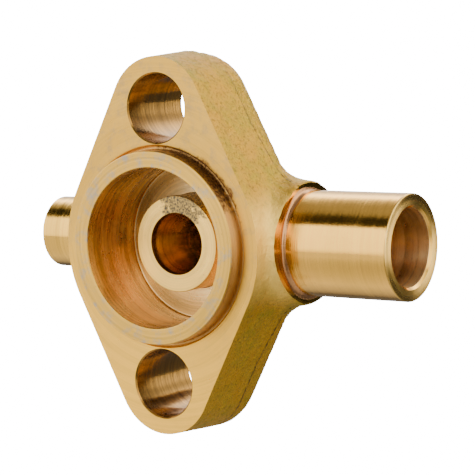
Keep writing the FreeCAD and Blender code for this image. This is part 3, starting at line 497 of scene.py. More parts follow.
# Solder is bright and lumpy, coloured straw by heat. The fibre is dull and greasy, the acetal
# soft and milky, the forging smooth with a slight orange peel, and the vinyl a glossy red skin.
silver_solder = plain("silver solder, heat stained", linear("C08A58"), 0.28, 1.0, 0.9, 0.06)
packing_fibre = plain("greased packing", linear("5B5345"), 0.6)
acetal = plain("acetal washer", linear("E6E3DA"), 0.35)
forged_bronze = plain("forged bronze", linear("D9A24C"), 0.34, 1.0, 1.2, 0.03)
grip_vinyl = plain("dipped vinyl grip", linear("A32A22"), 0.38, 0.0, 0.9, 0.02)
print("materials made:", len(bpy.data.materials))

# %% [markdown]
# ## The body casting
#
# The casting is first worked out as it would leave the mould, then cut with the same tools
# as the real one: a facing and boring tool on the plug's axis, drills for the bolts, and cutters
# for the two sockets. Sculpting the blended corners by hand would be slow to repeat. A distance
# that several plain bodies share blends them by one rule, and rays find where it's zero.
# Cut surfaces keep the cutter's material, so the machined and the cast finishes meet at an edge.

# %% Shape of the raw casting
FRONT_DRAFT, BACK_DRAFT = math.tan(math.radians(4)), math.tan(math.radians(14))
BARREL_TAPER = 0.02            # each mm further from the flange takes this off the radius
SHIFT_X, SHIFT_Z = 0.12, 0.3   # the back half of the mould stood this much out of line
STEP, LIP = 0.3, 0.05          # width of the step at the seam, and the fin that stands on it
DEEP_END = -6.0                # the raw casting reaches past every face that's cut later
BARREL_SPARE, BOSS_SPARE, DRAIN_SPARE = 0.6, 0.35, 0.3


def soft_union(a, b, k):
    """Smaller of two distances, rounded over a width k where they're alike:
    min(a, b) - h^2 k / 4 with h = max(1 - |a - b| / k, 0)."""
    h = np.maximum(1 - np.abs(a - b) / k, 0)
    return np.minimum(a, b) - h * h * k / 4


def outline(x, z, waist, end):
    """Distance in the plane to the flange outline: a round waist and two round ends under four
    tangent lines. The lines lean by asin((waist - end) / CENTRE)."""
    x, z = np.abs(x), np.abs(z)
    lean = np.arcsin((waist - end) / CENTRE)
    across, along = np.cos(lean), np.sin(lean)
    up = z * across - x * along
    line = x * across + z * along - waist
    low = np.hypot(x, z) - waist
    top = np.hypot(x, z - CENTRE) - end
    return np.where(up < 0, low, np.where(up > CENTRE * across, top, line))


def casting_distance(p):
    """Distance from the raw casting's surface, in millimetres, negative inside: the drafted flange
    with its two mould halves a little out of line, the barrel, the two stud lugs and both bosses."""
    x, y, z = p[..., 0], p[..., 1], p[..., 2]
    seam = np.interp(np.abs(z), SEAM_Z, SEAM_DEPTH)
    behind = np.clip((y - seam) / STEP, 0, 1)
    draft = np.where(y < PARTING, (PARTING - y) * FRONT_DRAFT, (y - PARTING) * BACK_DRAFT)
    lip = LIP * np.exp(-((y - seam) / STEP) ** 2)
    plate = outline(x - SHIFT_X * behind, z + SHIFT_Z * behind,
                    WAIST - draft + lip - 0.2 * behind, END - draft + lip - 0.4 * behind)
    back = y - THICK
    flange = -soft_union(-plate, -back, 2.2)
    flange = -soft_union(-flange, y - DEEP_END, 0.5)
    taper = np.clip(y - THICK, 0, 20) * BARREL_TAPER
    barrel = np.maximum(np.hypot(x, z) - (BARREL - taper), 6 - y)
    lugs = np.hypot(x, np.maximum(np.abs(z) - LUG, 0)) - (LUG_OUT - taper)
    barrel = soft_union(barrel, np.maximum(lugs, 6 - y), 1.6)
    barrel = -soft_union(-barrel, BARREL_END + BARREL_SPARE - y, 0.8)
    out = np.hypot(y - PIPE, z)
    right = np.maximum(out - DELIVERY_BOSS, 10 - x)
    right = -soft_union(-right, DELIVERY_FACE + BOSS_SPARE - x, 1.4)
    left = np.maximum(out - DRAIN_BOSS, 10 + x)
    left = -soft_union(-left, DRAIN_FACE + DRAIN_SPARE + x, 1.2)
    whole = soft_union(flange, barrel, 5.0)
    whole = soft_union(whole, right, 4.0)
    return soft_union(whole, left, 3.0)


# %% Rays that find that surface
HEART = 14.0                   # depth of the point that every ray leaves
NEAREST, FARTHEST = 4.0, 70.0  # the surface lies between these along each ray
HALVINGS = 40
SWELL, PEBBLE = 0.05, 0.035    # depth of the slow and the quick unevenness that sand leaves


def casting_grid(columns=560):
    """Two parameters, row and angle. Each pair aims a ray from one point inside the flange at a
    plain outline made of the flange's side, its back and the barrel's side, and forty halvings of
    the distance along the ray find where casting_distance is zero."""
    angle = np.linspace(0, math.tau, columns, endpoint=False)[None, :]
    lean = math.asin((WAIST - END) / CENTRE)
    fold = np.arctan2(np.abs(np.sin(angle)), np.abs(np.cos(angle)))
    tip = CENTRE * np.sin(fold) + np.sqrt(np.maximum(END ** 2 - (CENTRE * np.cos(fold)) ** 2, 0))
    turn = math.atan2(CENTRE + END * math.sin(lean), END * math.cos(lean))
    edge = np.where(fold < lean, WAIST, np.where(fold < turn, WAIST / np.cos(fold - lean), tip))
    rows = []
    for share in np.linspace(0.0, 1.0, 5)[:-1]:
        rows.append((edge * share, DEEP_END + 0 * angle))
    for depth in np.concatenate([np.linspace(DEEP_END, 13.6, 40), np.linspace(14.0, 18.3, 26)]):
        rows.append((edge, depth + 0 * angle))
    for share in 1 - np.linspace(0, 1, 26)[1:] ** 1.25:
        rows.append((BARREL + 1.5 + (edge - BARREL - 1.5) * share, THICK + 0.6 * (1 - share) + 0 * angle))
    for depth in np.linspace(THICK + 1.4, BARREL_END + BARREL_SPARE, 34):
        rows.append((BARREL + 0 * angle, depth + 0 * angle))
    for share in np.linspace(1, 0, 5)[1:]:
        rows.append((BARREL * share + 0 * angle, BARREL_END + BARREL_SPARE + 0 * angle))
    far = np.stack([r for r, _ in rows])[:, 0]
    deep = np.stack([d for _, d in rows])[:, 0]
    aim = np.stack([far * np.cos(angle), deep - HEART, far * np.sin(angle)], -1)
    aim /= np.linalg.norm(aim, axis=-1, keepdims=True)
    start = np.array([0, HEART, 0.0])
    near, beyond = np.full(aim.shape[:2], NEAREST), np.full(aim.shape[:2], FARTHEST)
    for _ in range(HALVINGS):
        middle = (near + beyond) / 2
        outside = casting_distance(start + aim * middle[..., None]) > 0
        near, beyond = np.where(outside, near, middle), np.where(outside, middle, beyond)
    points = start + aim * near[..., None]
    step = SWELL * wander(points, 5.0, 11) + PEBBLE * wander(points, 1.8, 12)
    depth = points[..., 1]
    worn = np.clip((depth - 1) / 3, 0, 1)
    return points - aim * (np.abs(step) * worn)[..., None]


blank = skin("cast_body", casting_grid(), sharp=60)
print("raw casting faces:", len(blank.data.polygons))


# %% [markdown]
# ## Cutters
#
# Each cutter is a closed lathe form that reaches past the metal. Cutters that meet start at
# different angles, so they share no line of points, which would leave the cut undecided.

# %% Cutters
LATHE_START, DRILL_START, SOCKET_START, SPOT_START = 0.0047, 0.0113, 0.0071, 0.0231
AWAY = 70                      # beyond the metal on every side
CLEAR = 0.05                   # working clearance round the plug


def cutter(name, grid, materials, which=None):
    """A closed cutter. which(face centres in mm) returns each face's material index."""
    tool = skin(name, grid, sharp=30)
    for material in materials:
        tool.data.materials.append(material)
    if which is not None:
        tool.data.polygons.foreach_set("material_index", which(face_centres(tool.data)).astype(np.int32))
    return tool


centre_cut = eased([
    (0, -12, 0), (AWAY, -12, 0), (AWAY, 0, 0), (RELIEF, 0, 0.3), (RELIEF, RELIEF_DEEP, 0.4),
    (RING, RELIEF_DEEP, 0.45), (RING, -RING_HIGH, 0.22), (CHAMBER, -RING_HIGH, 0.2),
    (CHAMBER, CHAMBER_DEEP, 0.35), (PLUG + CLEAR, CHAMBER_DEEP, 0.15),
    (PLUG_TAIL + CLEAR, PLUG_BACK + 0.3, 0.1), (4.55, PLUG_BACK + 0.3, 0.1), (4.55, BOX_FLOOR, 0.1),
    (BOX, BOX_FLOOR, 0.1), (BOX, BARREL_END, 0.12), (AWAY, BARREL_END, 0), (AWAY, 45, 0), (0, 45, 0),
])


def centre_finish(c):
    """0 the flange face, 1 the ring's end, 2 every bored surface, 3 the groove round the ring."""
    out = np.hypot(c[:, 0], c[:, 2])
    ring = (out > CHAMBER - 0.1) & (out < RING + 0.2) & (c[:, 1] < -RING_HIGH + 0.3)
    face = (out > RELIEF - 0.05) & (np.abs(c[:, 1]) < 0.2) | (c[:, 1] > 31)
    groove = (out > RING - 0.1) & (out < RELIEF + 0.1) & (c[:, 1] > -1.2) & (c[:, 1] < 2)
    return np.where(ring, 1, np.where(face, 0, np.where(groove, 3, 2)))


tools = [cutter("lathe tool", turned(centre_cut, 384, start=LATHE_START),
                [faced_gunmetal, ring_gunmetal, bored_gunmetal, shaded_groove], centre_finish)]
for name, z, metal in (("upper", BOLT, drilled_gunmetal), ("lower", -BOLT, drilled_gunmetal_low)):
    drill = eased([(0, -3, 0), (BOLT_HOLE + 0.3, -3, 0), (BOLT_HOLE + 0.3, 0.0, 0), (BOLT_HOLE, 0.3, 0),
                   (BOLT_HOLE, 24, 0), (0, 24, 0)])
    grid = turned(drill, 160, centre=(0, 0, z), start=DRILL_START)
    tools.append(cutter(name + " bolt drill", grid, [metal]))
    stud = eased([(0, 23, 0), (1.95, 23, 0), (1.95, 40, 0), (0, 40, 0)])
    z = math.copysign(LUG, z)
    tools.append(cutter(name + " stud drill", turned(stud, 64, centre=(0, 0, z), start=DRILL_START), [metal]))
sockets = (("delivery", 1, DELIVERY_FACE, 10.82, DELIVERY_SEAT, 16.5),
           ("drain", -1, DRAIN_FACE, 7.67, DRAIN_SEAT, 13.0))
for name, way, face, neck, seat, clear in sockets:
    inmost = 13.6 - 3.0 * way
    bore = eased([(0, inmost, 0), (PASSAGE, inmost, 0), (PASSAGE, seat, 0), (neck, seat, 0),
                  (neck, face, 0.1), (clear, face, 0), (clear, face + 9, 0), (0, face + 9, 0)])
    bore[:, 1] *= way
    grid = turned(bore, 160, "x", (0, PIPE, 0), start=SOCKET_START)
    tools.append(cutter(name + " socket cutter", grid, [drain_bronze]))
for name, sign in (("nipple", 1), ("screw", -1)):
    spot = eased([(0, 10.6, 0), (2.4, 10.6, 0), (2.4, SPOT, 0), (4.1, SPOT, 0), (4.1, 22, 0), (0, 22, 0)])
    grid = turned(spot, 64, "x", start=SPOT_START)
    turn = math.radians(180 - sign * 45)
    x, z = grid[..., 0].copy(), grid[..., 2].copy()
    grid[..., 0] = x * math.cos(turn) - z * math.sin(turn)
    grid[..., 2] = x * math.sin(turn) + z * math.cos(turn)
    grid[..., 1] += FITTING
    tools.append(cutter(name + " spot facer", grid, [bored_gunmetal]))
well = eased([(0, 12, 0), (WELL, 12, 0), (WELL, PIPE, 0), (0, PIPE, 0)])
well_grid = turned(well, 64, centre=(-WELL_X, 0, 0), start=DRILL_START)
tools.append(cutter("drain well drill", well_grid, [bored_gunmetal]))
print("cutters for the casting:", len(tools))


# %% Cut the casting
def combine(piece, tools, operation, finish):
    """Add each tool's volume (UNION) or take it away (DIFFERENCE). TRANSFER keeps the tool's own
    material on the new faces, INDEX only its number."""
    for tool in tools:
        change = piece.modifiers.new(tool.name, "BOOLEAN")
        change.operation = operation
        change.solver = "EXACT"
        change.material_mode = finish
        change.object = tool
    view = bpy.context.evaluated_depsgraph_get()
    mesh = bpy.data.meshes.new_from_object(piece.evaluated_get(view), depsgraph=view)
    piece.modifiers.clear()
    piece.data = mesh
    for tool in tools:
        bpy.data.objects.remove(tool)


blank.data.materials.append(sand_cast)
combine(blank, tools, "DIFFERENCE", "TRANSFER")
smooth(blank.data, 28)
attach(blank, "seacock_body")
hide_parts("body_casting")
print("finished casting faces:", len(blank.data.polygons), [m.name for m in blank.data.materials])


# %% [markdown]
# ## Spigots and solder
#
# Both tubes are turned from bar and silver-soldered into their bosses. The delivery tube's mouth
# has a bright inner chamfer. A bead of solder is never even, because it runs to where the flame
# was, so its leg follows a seeded field instead of one number.

# %% Turned tubes and the solder round them
def finish_piece(piece, body, nodes, slot, *materials):
    """Give a piece its material, its body and the plain nodes it stands for. The slot is not used."""
    for material in materials:
        piece.data.materials.append(material)
    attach(piece, body)
    if nodes:
        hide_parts(*nodes)
    return piece


DELIVERY_BORE, DELIVERY_TUBE, DELIVERY_END = 8.06, 11.0, 49.45
DRAIN_BORE, DRAIN_TUBE, DRAIN_END = 5.9, 7.85, 40.4
delivery = eased([(DELIVERY_BORE, DELIVERY_SEAT, 0.1), (DELIVERY_NECK, DELIVERY_SEAT, 0.1),
                  (DELIVERY_NECK, 26.7, 0.0), (DELIVERY_TUBE, 26.75, 0.0), (DELIVERY_TUBE, DELIVERY_END, 0.3),
                  (8.62, DELIVERY_END, 0.12), (DELIVERY_BORE, 48.9, 0.12)], closed=True)
delivery_tube = skin("delivery_tube", turned(delivery, 256, "x", (0, PIPE, 0)), loop=True)
finish_piece(delivery_tube, "seacock_body", ["delivery_spigot"], "turned_bronze", tube_bronze)
drain = eased([(DRAIN_BORE, -DRAIN_SEAT, 0.1), (DRAIN_NECK, -DRAIN_SEAT, 0.1), (DRAIN_NECK, -28.4, 0.0),
               (DRAIN_TUBE, -28.45, 0.0), (DRAIN_TUBE, -DRAIN_END, 0.35), (6.3, -DRAIN_END, 0.1),
               (DRAIN_BORE, -40.0, 0.1)], closed=True)
drain_tube = skin("drain_tube", turned(drain, 224, "x", (0, PIPE, 0)), loop=True)
finish_piece(drain_tube, "seacock_body", ["drain_spigot"], "turned_bronze", drain_bronze)


def line_bore(tube, radius, metal):
    """Give the faces inside a radius of the tube's axis their own metal, and the mouth its own."""
    centres = face_centres(tube.data)
    inside = np.hypot(centres[:, 1] - PIPE, centres[:, 2]) < radius
    far = np.abs(centres[:, 0])
    end = (far > far.max() - 0.2) & ~inside
    tube.data.materials.append(metal)
    tube.data.materials.append(end_bronze)
    tube.data.polygons.foreach_set("material_index", (inside + 2 * end).astype(np.int32))


def solder_bead(name, packed, neck, face, way, seed):
    """A concave fillet between the boss face and the tube. Its leg swells and shrinks round the
    tube, by a seeded field, as solder does where the flame moved."""
    arc = np.linspace(0, math.pi / 2, 9)[:, None]
    angle = np.linspace(0, math.tau, 224, endpoint=False)[None, :]
    ring = np.stack([np.cos(angle), np.sin(angle), 0 * angle], -1)[0]
    leg = (0.92 + 0.14 * wander(ring * 10, 9.0, seed))[None, :]
    far = neck + leg * (1 - np.sin(arc))
    along = face + way * leg * (1 - np.cos(arc))
    root = neck - 0.05 + 0 * leg
    far = np.vstack([far, root, root])
    along = np.vstack([along, face + way * leg, face + 0 * leg])
    grid = np.stack([along, PIPE + far * np.cos(angle), far * np.sin(angle)], -1)
    bead = skin(name, grid, loop=True)
    return finish_piece(bead, "seacock_body", [packed], "silver_solder", silver_solder)


line_bore(delivery_tube, 8.2, bore_bronze)
line_bore(drain_tube, 6.0, bore_bronze)
solder_bead("delivery_solder", "delivery_solder_ring", DELIVERY_NECK, DELIVERY_FACE, 1, 5)
solder_bead("drain_solder", "drain_solder_ring", DRAIN_NECK, -DRAIN_FACE, -1, 6)
print("tube faces:", len(delivery_tube.data.polygons), len(drain_tube.data.polygons))

# %% [markdown]
# ## The plug and its spindle
#
# The plug is a taper so that wear can be taken up. It's hollow, open to the sea at the front, and
# a port drilled through one wall meets the delivery spigot when the valve is open. One lathe
# profile carries it all, and a radius function makes the square and the thread.

# %% Hollow plug and threaded spindle
plug_profile = eased([
    (0, 22.6, 0), (THROAT, 20.6, 0.1), (THROAT, 16.0, 0.1), (PLUG_BORE, 7.5, 0.5),
    (PLUG_BORE, PLUG_FRONT, 0.12), (PLUG, PLUG_FRONT, 0.15), (PLUG, CHAMBER_DEEP, 0),
    (PLUG_TAIL, PLUG_BACK, 0.2), (SPINDLE, PLUG_BACK, 0.1), (SPINDLE, 37.4, 0.1),
    (4.095, HUB_START, 0), (4.095, 44.8, 0), (THREAD, 44.8, 0),
])
THREAD_PITCH, THREAD_DEEP = 1.0, 0.5
thread_rows = np.linspace(LEVER_BACK, 52.4, 110)
plug_profile = np.vstack([plug_profile, np.stack([THREAD + 0 * thread_rows, thread_rows], -1),
                          [[2.4, 53.0], [0, 53.0]]])


def spindle_shape(angle, along, radius):
    """Square where the lever sits, and a thread behind it: the thread's depth follows a triangle
    wave of along / pitch - angle / tau."""
    half = SQUARE / 2
    square = half / np.maximum(np.abs(np.cos(angle)), np.abs(np.sin(angle)))
    on_square = (along > 37.5) & (along < 44.9) & (radius > 3.01)
    radius = np.where(on_square, np.minimum(radius, square), radius)
    phase = (along / THREAD_PITCH - angle / math.tau) % 1.0
    groove = THREAD_DEEP * (1 - np.abs(2 * phase - 1))
    threaded = (along > LEVER_BACK) & (along < 52.5) & (radius > 2.9)
    return np.where(threaded, radius - groove, radius)


plug = skin("hollow_plug", turned(plug_profile, 256, radius=spindle_shape), sharp=30)
centres = face_centres(plug.data)
inside = (np.hypot(centres[:, 0], centres[:, 2]) < PLUG_BORE + 0.03) & (centres[:, 1] < 23)
plug.data.materials.append(plug_bronze)
plug.data.materials.append(bored_plug)
plug.data.polygons.foreach_set("material_index", inside.astype(np.int32))
port = eased([(0, 0, 0), (PASSAGE, 0, 0), (PASSAGE, 14, 0), (0, 14, 0)])
port_grid = turned(port, 96, "x", (0, PIPE, 0), start=SOCKET_START)
combine(plug, [cutter("port drill", port_grid, [bored_gunmetal])], "DIFFERENCE", "TRANSFER")
smooth(plug.data, 30)
finish_piece(plug, "plug_and_lever", ["valve_plug"], "turned_gunmetal")
print("plug faces:", len(plug.data.polygons))

# %% [markdown]
# ## Keep plate, studs and what holds them
#
# The plate's outline is a polar radius: the round waist, the tangent lines and the round ends,
# each where it lies farthest in. A nut is a circle cut by six flats, and the turned cone at
# each end takes its corners down.

# %% Hexagons, threads, rods and rings
CONE_SHARE = 0.96             # where a nut's cone begins, as a share of half its flats


def hexagon(flats, phase=0.0):
    """Radius function of a nut: the smaller of the given radius, which falls away in a cone at
    both ends, and the distance to the nearest of six flats, flats / 2 / cos(angle from its middle)."""
    def radius(angle, along, far):
        nearest = (angle + phase + math.pi / 6) % (math.pi / 3) - math.pi / 6
        return np.where(far > 0.72 * flats / 2, np.minimum(far, flats / 2 / np.cos(nearest)), far)
    return radius


def nut_profile(bore, flats, start, high):
    """Closed profile of a nut: threaded bore, countersinks, and a cone at each end that starts at
    the flats and reaches the corners."""
    corner = flats / math.sqrt(3)
    cone = flats / 2 * CONE_SHARE
    fall = (corner - cone) * math.tan(math.radians(30))
    return eased([(bore, start + 0.3, 0), (bore + 0.3, start, 0), (cone, start, 0.05),
                  (corner, start + fall, 0), (corner, start + high - fall, 0), (cone, start + high, 0.05),
                  (bore + 0.3, start + high, 0), (bore, start + high - 0.3, 0)], closed=True)


def threaded(radius, pitch, depth, start, end):
    """Radius function with a thread between two places: the depth follows a triangle wave of
    along / pitch - angle / tau."""
    def shape(angle, along, far):
        wave = (along / pitch - angle / math.tau) % 1.0
        cut_here = (along > start) & (along < end) & (far > radius - 0.2)
        return np.where(cut_here, far - depth * (1 - np.abs(2 * wave - 1)), far)
    return shape


def rod(radius, start, end, edge, steps=2):
    """Closed-ended bar profile with broken edges."""
    middle = np.linspace(start + edge, end - edge, steps)
    return np.vstack([[[0, start], [radius - edge, start]], np.stack([radius + 0 * middle, middle], -1),
                      [[radius - edge, end], [0, end]]])


def ring_profile(inner, outer, start, thick, ease):
    """Closed profile of a flat ring with eased outer edges."""
    return eased([(inner, start, 0.05), (outer, start, ease), (outer, start + thick, ease),
                  (inner, start + thick, 0.05)], closed=True)


# %% Keep plate
OUTSIDE = 100                  # a profile radius that stands for the plate's outline


def plate_outline(angle):
    """Polar radius of the keep plate's outline."""
    fold = np.arctan2(np.abs(np.sin(angle)), np.abs(np.cos(angle)))
    lean = math.asin((PLATE_WAIST - PLATE_END) / LUG)
    turn = math.atan2(LUG + PLATE_END * math.sin(lean), PLATE_END * math.cos(lean))
    tip = LUG * np.sin(fold) + np.sqrt(np.maximum(PLATE_END ** 2 - (LUG * np.cos(fold)) ** 2, 0))
    line = PLATE_WAIST / np.cos(np.minimum(fold, turn) - lean)
    return np.where(fold < lean, PLATE_WAIST, np.where(fold < turn, line, tip))


def plate_shape(angle, along, far):
    """Keep the bore round and scale the outside to the outline, less the eased edge."""
    return np.where(far > OUTSIDE / 2, plate_outline(angle) - (OUTSIDE - far), far)


PLATE_BORE, PLATE_TOP = 4.75, PLATE + PLATE_THICK
plate_profile = eased([(PLATE_BORE, PLATE, 0.1), (OUTSIDE, PLATE, 0.35), (OUTSIDE, PLATE_TOP, 0.6),
                       (PLATE_BORE, PLATE_TOP, 0.25)], closed=True)
plate_grid = turned(plate_profile, 360, radius=plate_shape, start=0.0029)
plate = skin("turned_keep_plate", plate_grid, loop=True, sharp=40)
STOP_TURN = math.radians(17.4)
stops = ((STOP_CIRCLE * math.cos(STOP_TURN), STOP_CIRCLE * math.sin(STOP_TURN)),
         (-STOP_CIRCLE * math.sin(STOP_TURN), -STOP_CIRCLE * math.cos(STOP_TURN)))
plate.data.materials.append(plate_bronze)
drills = []
for name, x, z, radius in (("upper stud", 0, LUG, STUD_HOLE), ("lower stud", 0, -LUG, STUD_HOLE),
                           ("open stop", *stops[0], 1.27), ("shut stop", *stops[1], 1.27)):
    drill = eased([(0, 30, 0), (radius, 30, 0), (radius, 35.3, 0), (radius + 0.4, 35.7, 0),
                   (radius + 0.4, 38, 0), (0, 38, 0)])
    grid = turned(drill, 72, centre=(x, 0, z), start=DRILL_START)
    drills.append(cutter(name + " hole drill", grid, [plate_bronze]))
combine(plate, drills, "DIFFERENCE", "TRANSFER")
smooth(plate.data, 30)
finish_piece(plate, "seacock_body", ["keep_plate"], "turned_gunmetal")
print("keep plate faces:", len(plate.data.polygons))

# %% Studs, washers, nuts and stop pins
NUT_FLATS, NUT_HIGH = 7.0, 3.2
NUT_SHARP = 25
NUT_TURN = math.pi / 6
WASHER_HOLE = 2.15


def steel_piece(name, grid, packed, body="seacock_body", loop=False, sharp=CRISP):
    """A stainless piece on the body unless another body is named."""
    return finish_piece(skin(name, grid, loop, sharp), body, [packed], "stainless", stainless)


for name, z in (("upper", LUG), ("lower", -LUG)):
    here = (0, 0, z)
    bar = turned(rod(STUD, 23.0, 40.2, 0.35, 150), 72, radius=threaded(STUD, 0.7, 0.32, 34.0, 39.8))
    steel_piece(name + "_stud", placed(bar, here), "keep_plate_studs")
    ring = turned(ring_profile(WASHER_HOLE, 4.0, PLATE_TOP, WASHER, 0.15), 96)
    steel_piece(name + "_stud_washer", placed(ring, here), "stud_washers", loop=True)
    nut = turned(nut_profile(STUD, NUT_FLATS, 36.3, NUT_HIGH), 120, radius=hexagon(NUT_FLATS, NUT_TURN))
    steel_piece(name + "_stud_nut", placed(nut, here), "stud_nuts", loop=True, sharp=NUT_SHARP)
for name, (x, z) in zip(("open", "shut"), stops):
    pin = placed(turned(rod(STOP, PLATE, STOP_TOP, 0.3), 64), (x, 0, z))
    steel_piece(name + "_stop_pin", pin, "stop_pins")

# %% Spring, thrust washer and the lever's washer and nut
spring = eased([(4.9, 36.1, 0.1), (8.4, 35.5, 0.15), (8.4, 36.1, 0.15), (4.9, 36.7, 0.1)], closed=True)
spring_piece = skin("cone_spring", turned(spring, 160), loop=True)
finish_piece(spring_piece, "seacock_body", ["disc_spring"], "spring_steel", spring_steel)
thrust = skin("thrust_ring", turned(ring_profile(4.55, 8.4, 36.7, 0.8, 0.12), 160), loop=True)
finish_piece(thrust, "plug_and_lever", ["thrust_washer"], "acetal", acetal)
washer = turned(ring_profile(3.15, 6.4, LEVER_BACK, 1.0, 0.2), 128)
steel_piece("lever_plain_washer", washer, "lever_washer", "plug_and_lever", loop=True)
LEVER_FLATS = 10.0
nut = turned(nut_profile(THREAD, LEVER_FLATS, 46.0, 5.0), 144, radius=hexagon(LEVER_FLATS, NUT_TURN))
steel_piece("lever_hexagon_nut", nut, "lever_nut", "plug_and_lever", loop=True, sharp=NUT_SHARP)

# %% [markdown]
# ## Lever and grip
#
# The lever is one grid of sections across its length: each section is a rounded rectangle, a
# superellipse |u|^n + |v|^n = 1, whose half width and half height change along the arm. The
# hub is turned, and the two are joined into one piece.

# %% Lever
def bar_of_sections(reach, half_width, low, high, power, columns=96):
    """Rows of superellipse sections along -X. Half width, lower and upper face are arrays over
    reach, and the end rows close to a point at the middle of the section."""
    angle = np.linspace(0, math.tau, columns, endpoint=False)[None, :]
    c, s = np.cos(angle), np.sin(angle)
    scale = (np.abs(c) ** power + np.abs(s) ** power) ** (-1 / power)
    middle, half = (low + high)[:, None] / 2, (high - low)[:, None] / 2
    across = half_width[:, None] * scale * s
    grid = np.stack([-reach[:, None] + 0 * angle, middle + half * scale * c, across], -1)
    first = grid[:1].mean(1, keepdims=True) + 0 * grid[:1]
    last = grid[-1:].mean(1, keepdims=True) + 0 * grid[-1:]
    return np.vstack([first, grid, last])


ARM_STRAIGHT, ARM_ROUND = 50.9, 3.6   # reach of the straight sides, and of the round end past them
NARROWS = 2.0                         # half width lost along the arm
SLIM = 0.0004                         # squared share of the width that the last section keeps
SINK = 0.02                           # the arm and the tooth lie this far inside the hub's faces


def tapered_run(start, straight, length, sections, end_sections):
    """Places along the arm: even steps to the end of the straight sides, then steps that close up
    over a quarter of a sine to the tip."""
    curve = np.sin(np.linspace(0, math.pi / 2, end_sections))[1:]
    return np.concatenate([np.linspace(start, straight, sections), straight + length * curve])


def rounded_end(reach, straight, length):
    """Share of the width left at each place: a quarter ellipse past the straight sides."""
    return np.sqrt(np.maximum(1 - np.clip((reach - straight) / length, 0, 1) ** 2, SLIM))


reach = tapered_run(5.5, ARM_STRAIGHT, ARM_ROUND, 60, 16)
width = 5.55 - NARROWS * np.clip(reach / ARM_STRAIGHT, 0, 1)
width = width * rounded_end(reach, ARM_STRAIGHT, ARM_ROUND)
arm = bar_of_sections(reach, width, LEVER_START + SINK + 0 * reach, LEVER_BACK - SINK + 0 * reach, 7.0)
hub_profile = eased([(0, HUB_START, 0), (HUB, HUB_START, 0.5), (HUB, LEVER_BACK, 0.9), (0, LEVER_BACK, 0)])
lever = skin("forged_lever", turned(hub_profile, 192, start=0.0031), sharp=45)
tooth_reach = np.linspace(-7.0, -12.0, 24)
tooth_width = 2.0 * np.clip((12.0 + tooth_reach) / 0.4, 0.5, 1) ** 0.5
tooth_low, tooth_high = HUB_START + SINK + 0 * tooth_reach, 39.98 + 0 * tooth_reach
tooth = bar_of_sections(tooth_reach, tooth_width, tooth_low, tooth_high, 9.0, 64)


def square_hole(angle, along, far):
    """Radius of the broached square, with 0.03 mm of clearance on each side of the spindle's."""
    half = SQUARE / 2 + 0.03
    return np.minimum(far, half / np.maximum(np.abs(np.cos(angle)), np.abs(np.sin(angle))))


broach = turned(eased([(0, 36, 0), (10, 36, 0), (10, 47, 0), (0, 47, 0)]), 96, radius=square_hole)
lever.data.materials.append(forged_bronze)
combine(lever, [skin("arm", arm, sharp=45)], "UNION", "INDEX")
combine(lever, [skin("tooth", tooth, sharp=45)], "UNION", "INDEX")
combine(lever, [cutter("square broach", broach, [forged_bronze])], "DIFFERENCE", "TRANSFER")
lever.data.materials.clear()
lever.data.polygons.foreach_set("material_index", np.zeros(len(lever.data.polygons), np.int32))
smooth(lever.data, 30)
finish_piece(lever, "plug_and_lever", ["lever_handle"], "forged_bronze", forged_bronze)
print("lever faces:", len(lever.data.polygons))

# %% Grip
GRIP_START, GRIP_STRAIGHT, GRIP_ROUND = 30.0, 51.9, 4.9
GRIP_LIP = 0.28                # the dip ends in a rounded lip this deep
slide = tapered_run(GRIP_START, GRIP_STRAIGHT, GRIP_ROUND, 50, 14)
sides = np.interp(slide, [GRIP_START, GRIP_STRAIGHT], [5.6, 4.88])
sides = sides * rounded_end(slide, GRIP_STRAIGHT, GRIP_ROUND)
lip = GRIP_LIP * np.clip((slide - GRIP_START) / 0.5, 0, 1) ** 0.5 - GRIP_LIP
outer = bar_of_sections(slide, sides + lip, 39.72 - lip, 46.28 + lip, 4.0)
grip = skin("dipped_grip", outer, sharp=50)
hollow = tapered_run(20.0, ARM_STRAIGHT, ARM_ROUND, 40, 16)
hollow_width = 5.6 - NARROWS * np.clip(hollow / ARM_STRAIGHT, 0, 1)
hollow_width = hollow_width * rounded_end(hollow, ARM_STRAIGHT, ARM_ROUND)
space = bar_of_sections(hollow, hollow_width, LEVER_START + 0 * hollow, LEVER_BACK + 0 * hollow, 7.0)
grip.data.materials.append(grip_vinyl)
combine(grip, [cutter("arm space", space, [grip_vinyl])], "DIFFERENCE", "TRANSFER")
smooth(grip.data, 40)
finish_piece(grip, "plug_and_lever", ["lever_grip"], "grip_vinyl")
print("grip faces:", len(grip.data.polygons))

# %% [markdown]
# ## Grease nipple and bonding screw
#
# Two small fittings stand on spot faces on the barrel. They're made upright about +Y like the
# rest, then laid along their own axis, so no piece needs a transform of its own.

# %% Small fittings on the barrel
def on_barrel(grid, sign):
    """Lay a grid turned about +Y along its fitting's axis: out from the plug axis at 45 degrees
    above or below -X, with its own zero on the spot face."""
    turn = math.radians(-90 + sign * 45)
    x, up, z = grid[..., 0], grid[..., 1] + SPOT, grid[..., 2]
    return np.stack([up * math.sin(turn) + x * math.cos(turn), FITTING + z,
                     up * math.cos(turn) - x * math.sin(turn)], -1)


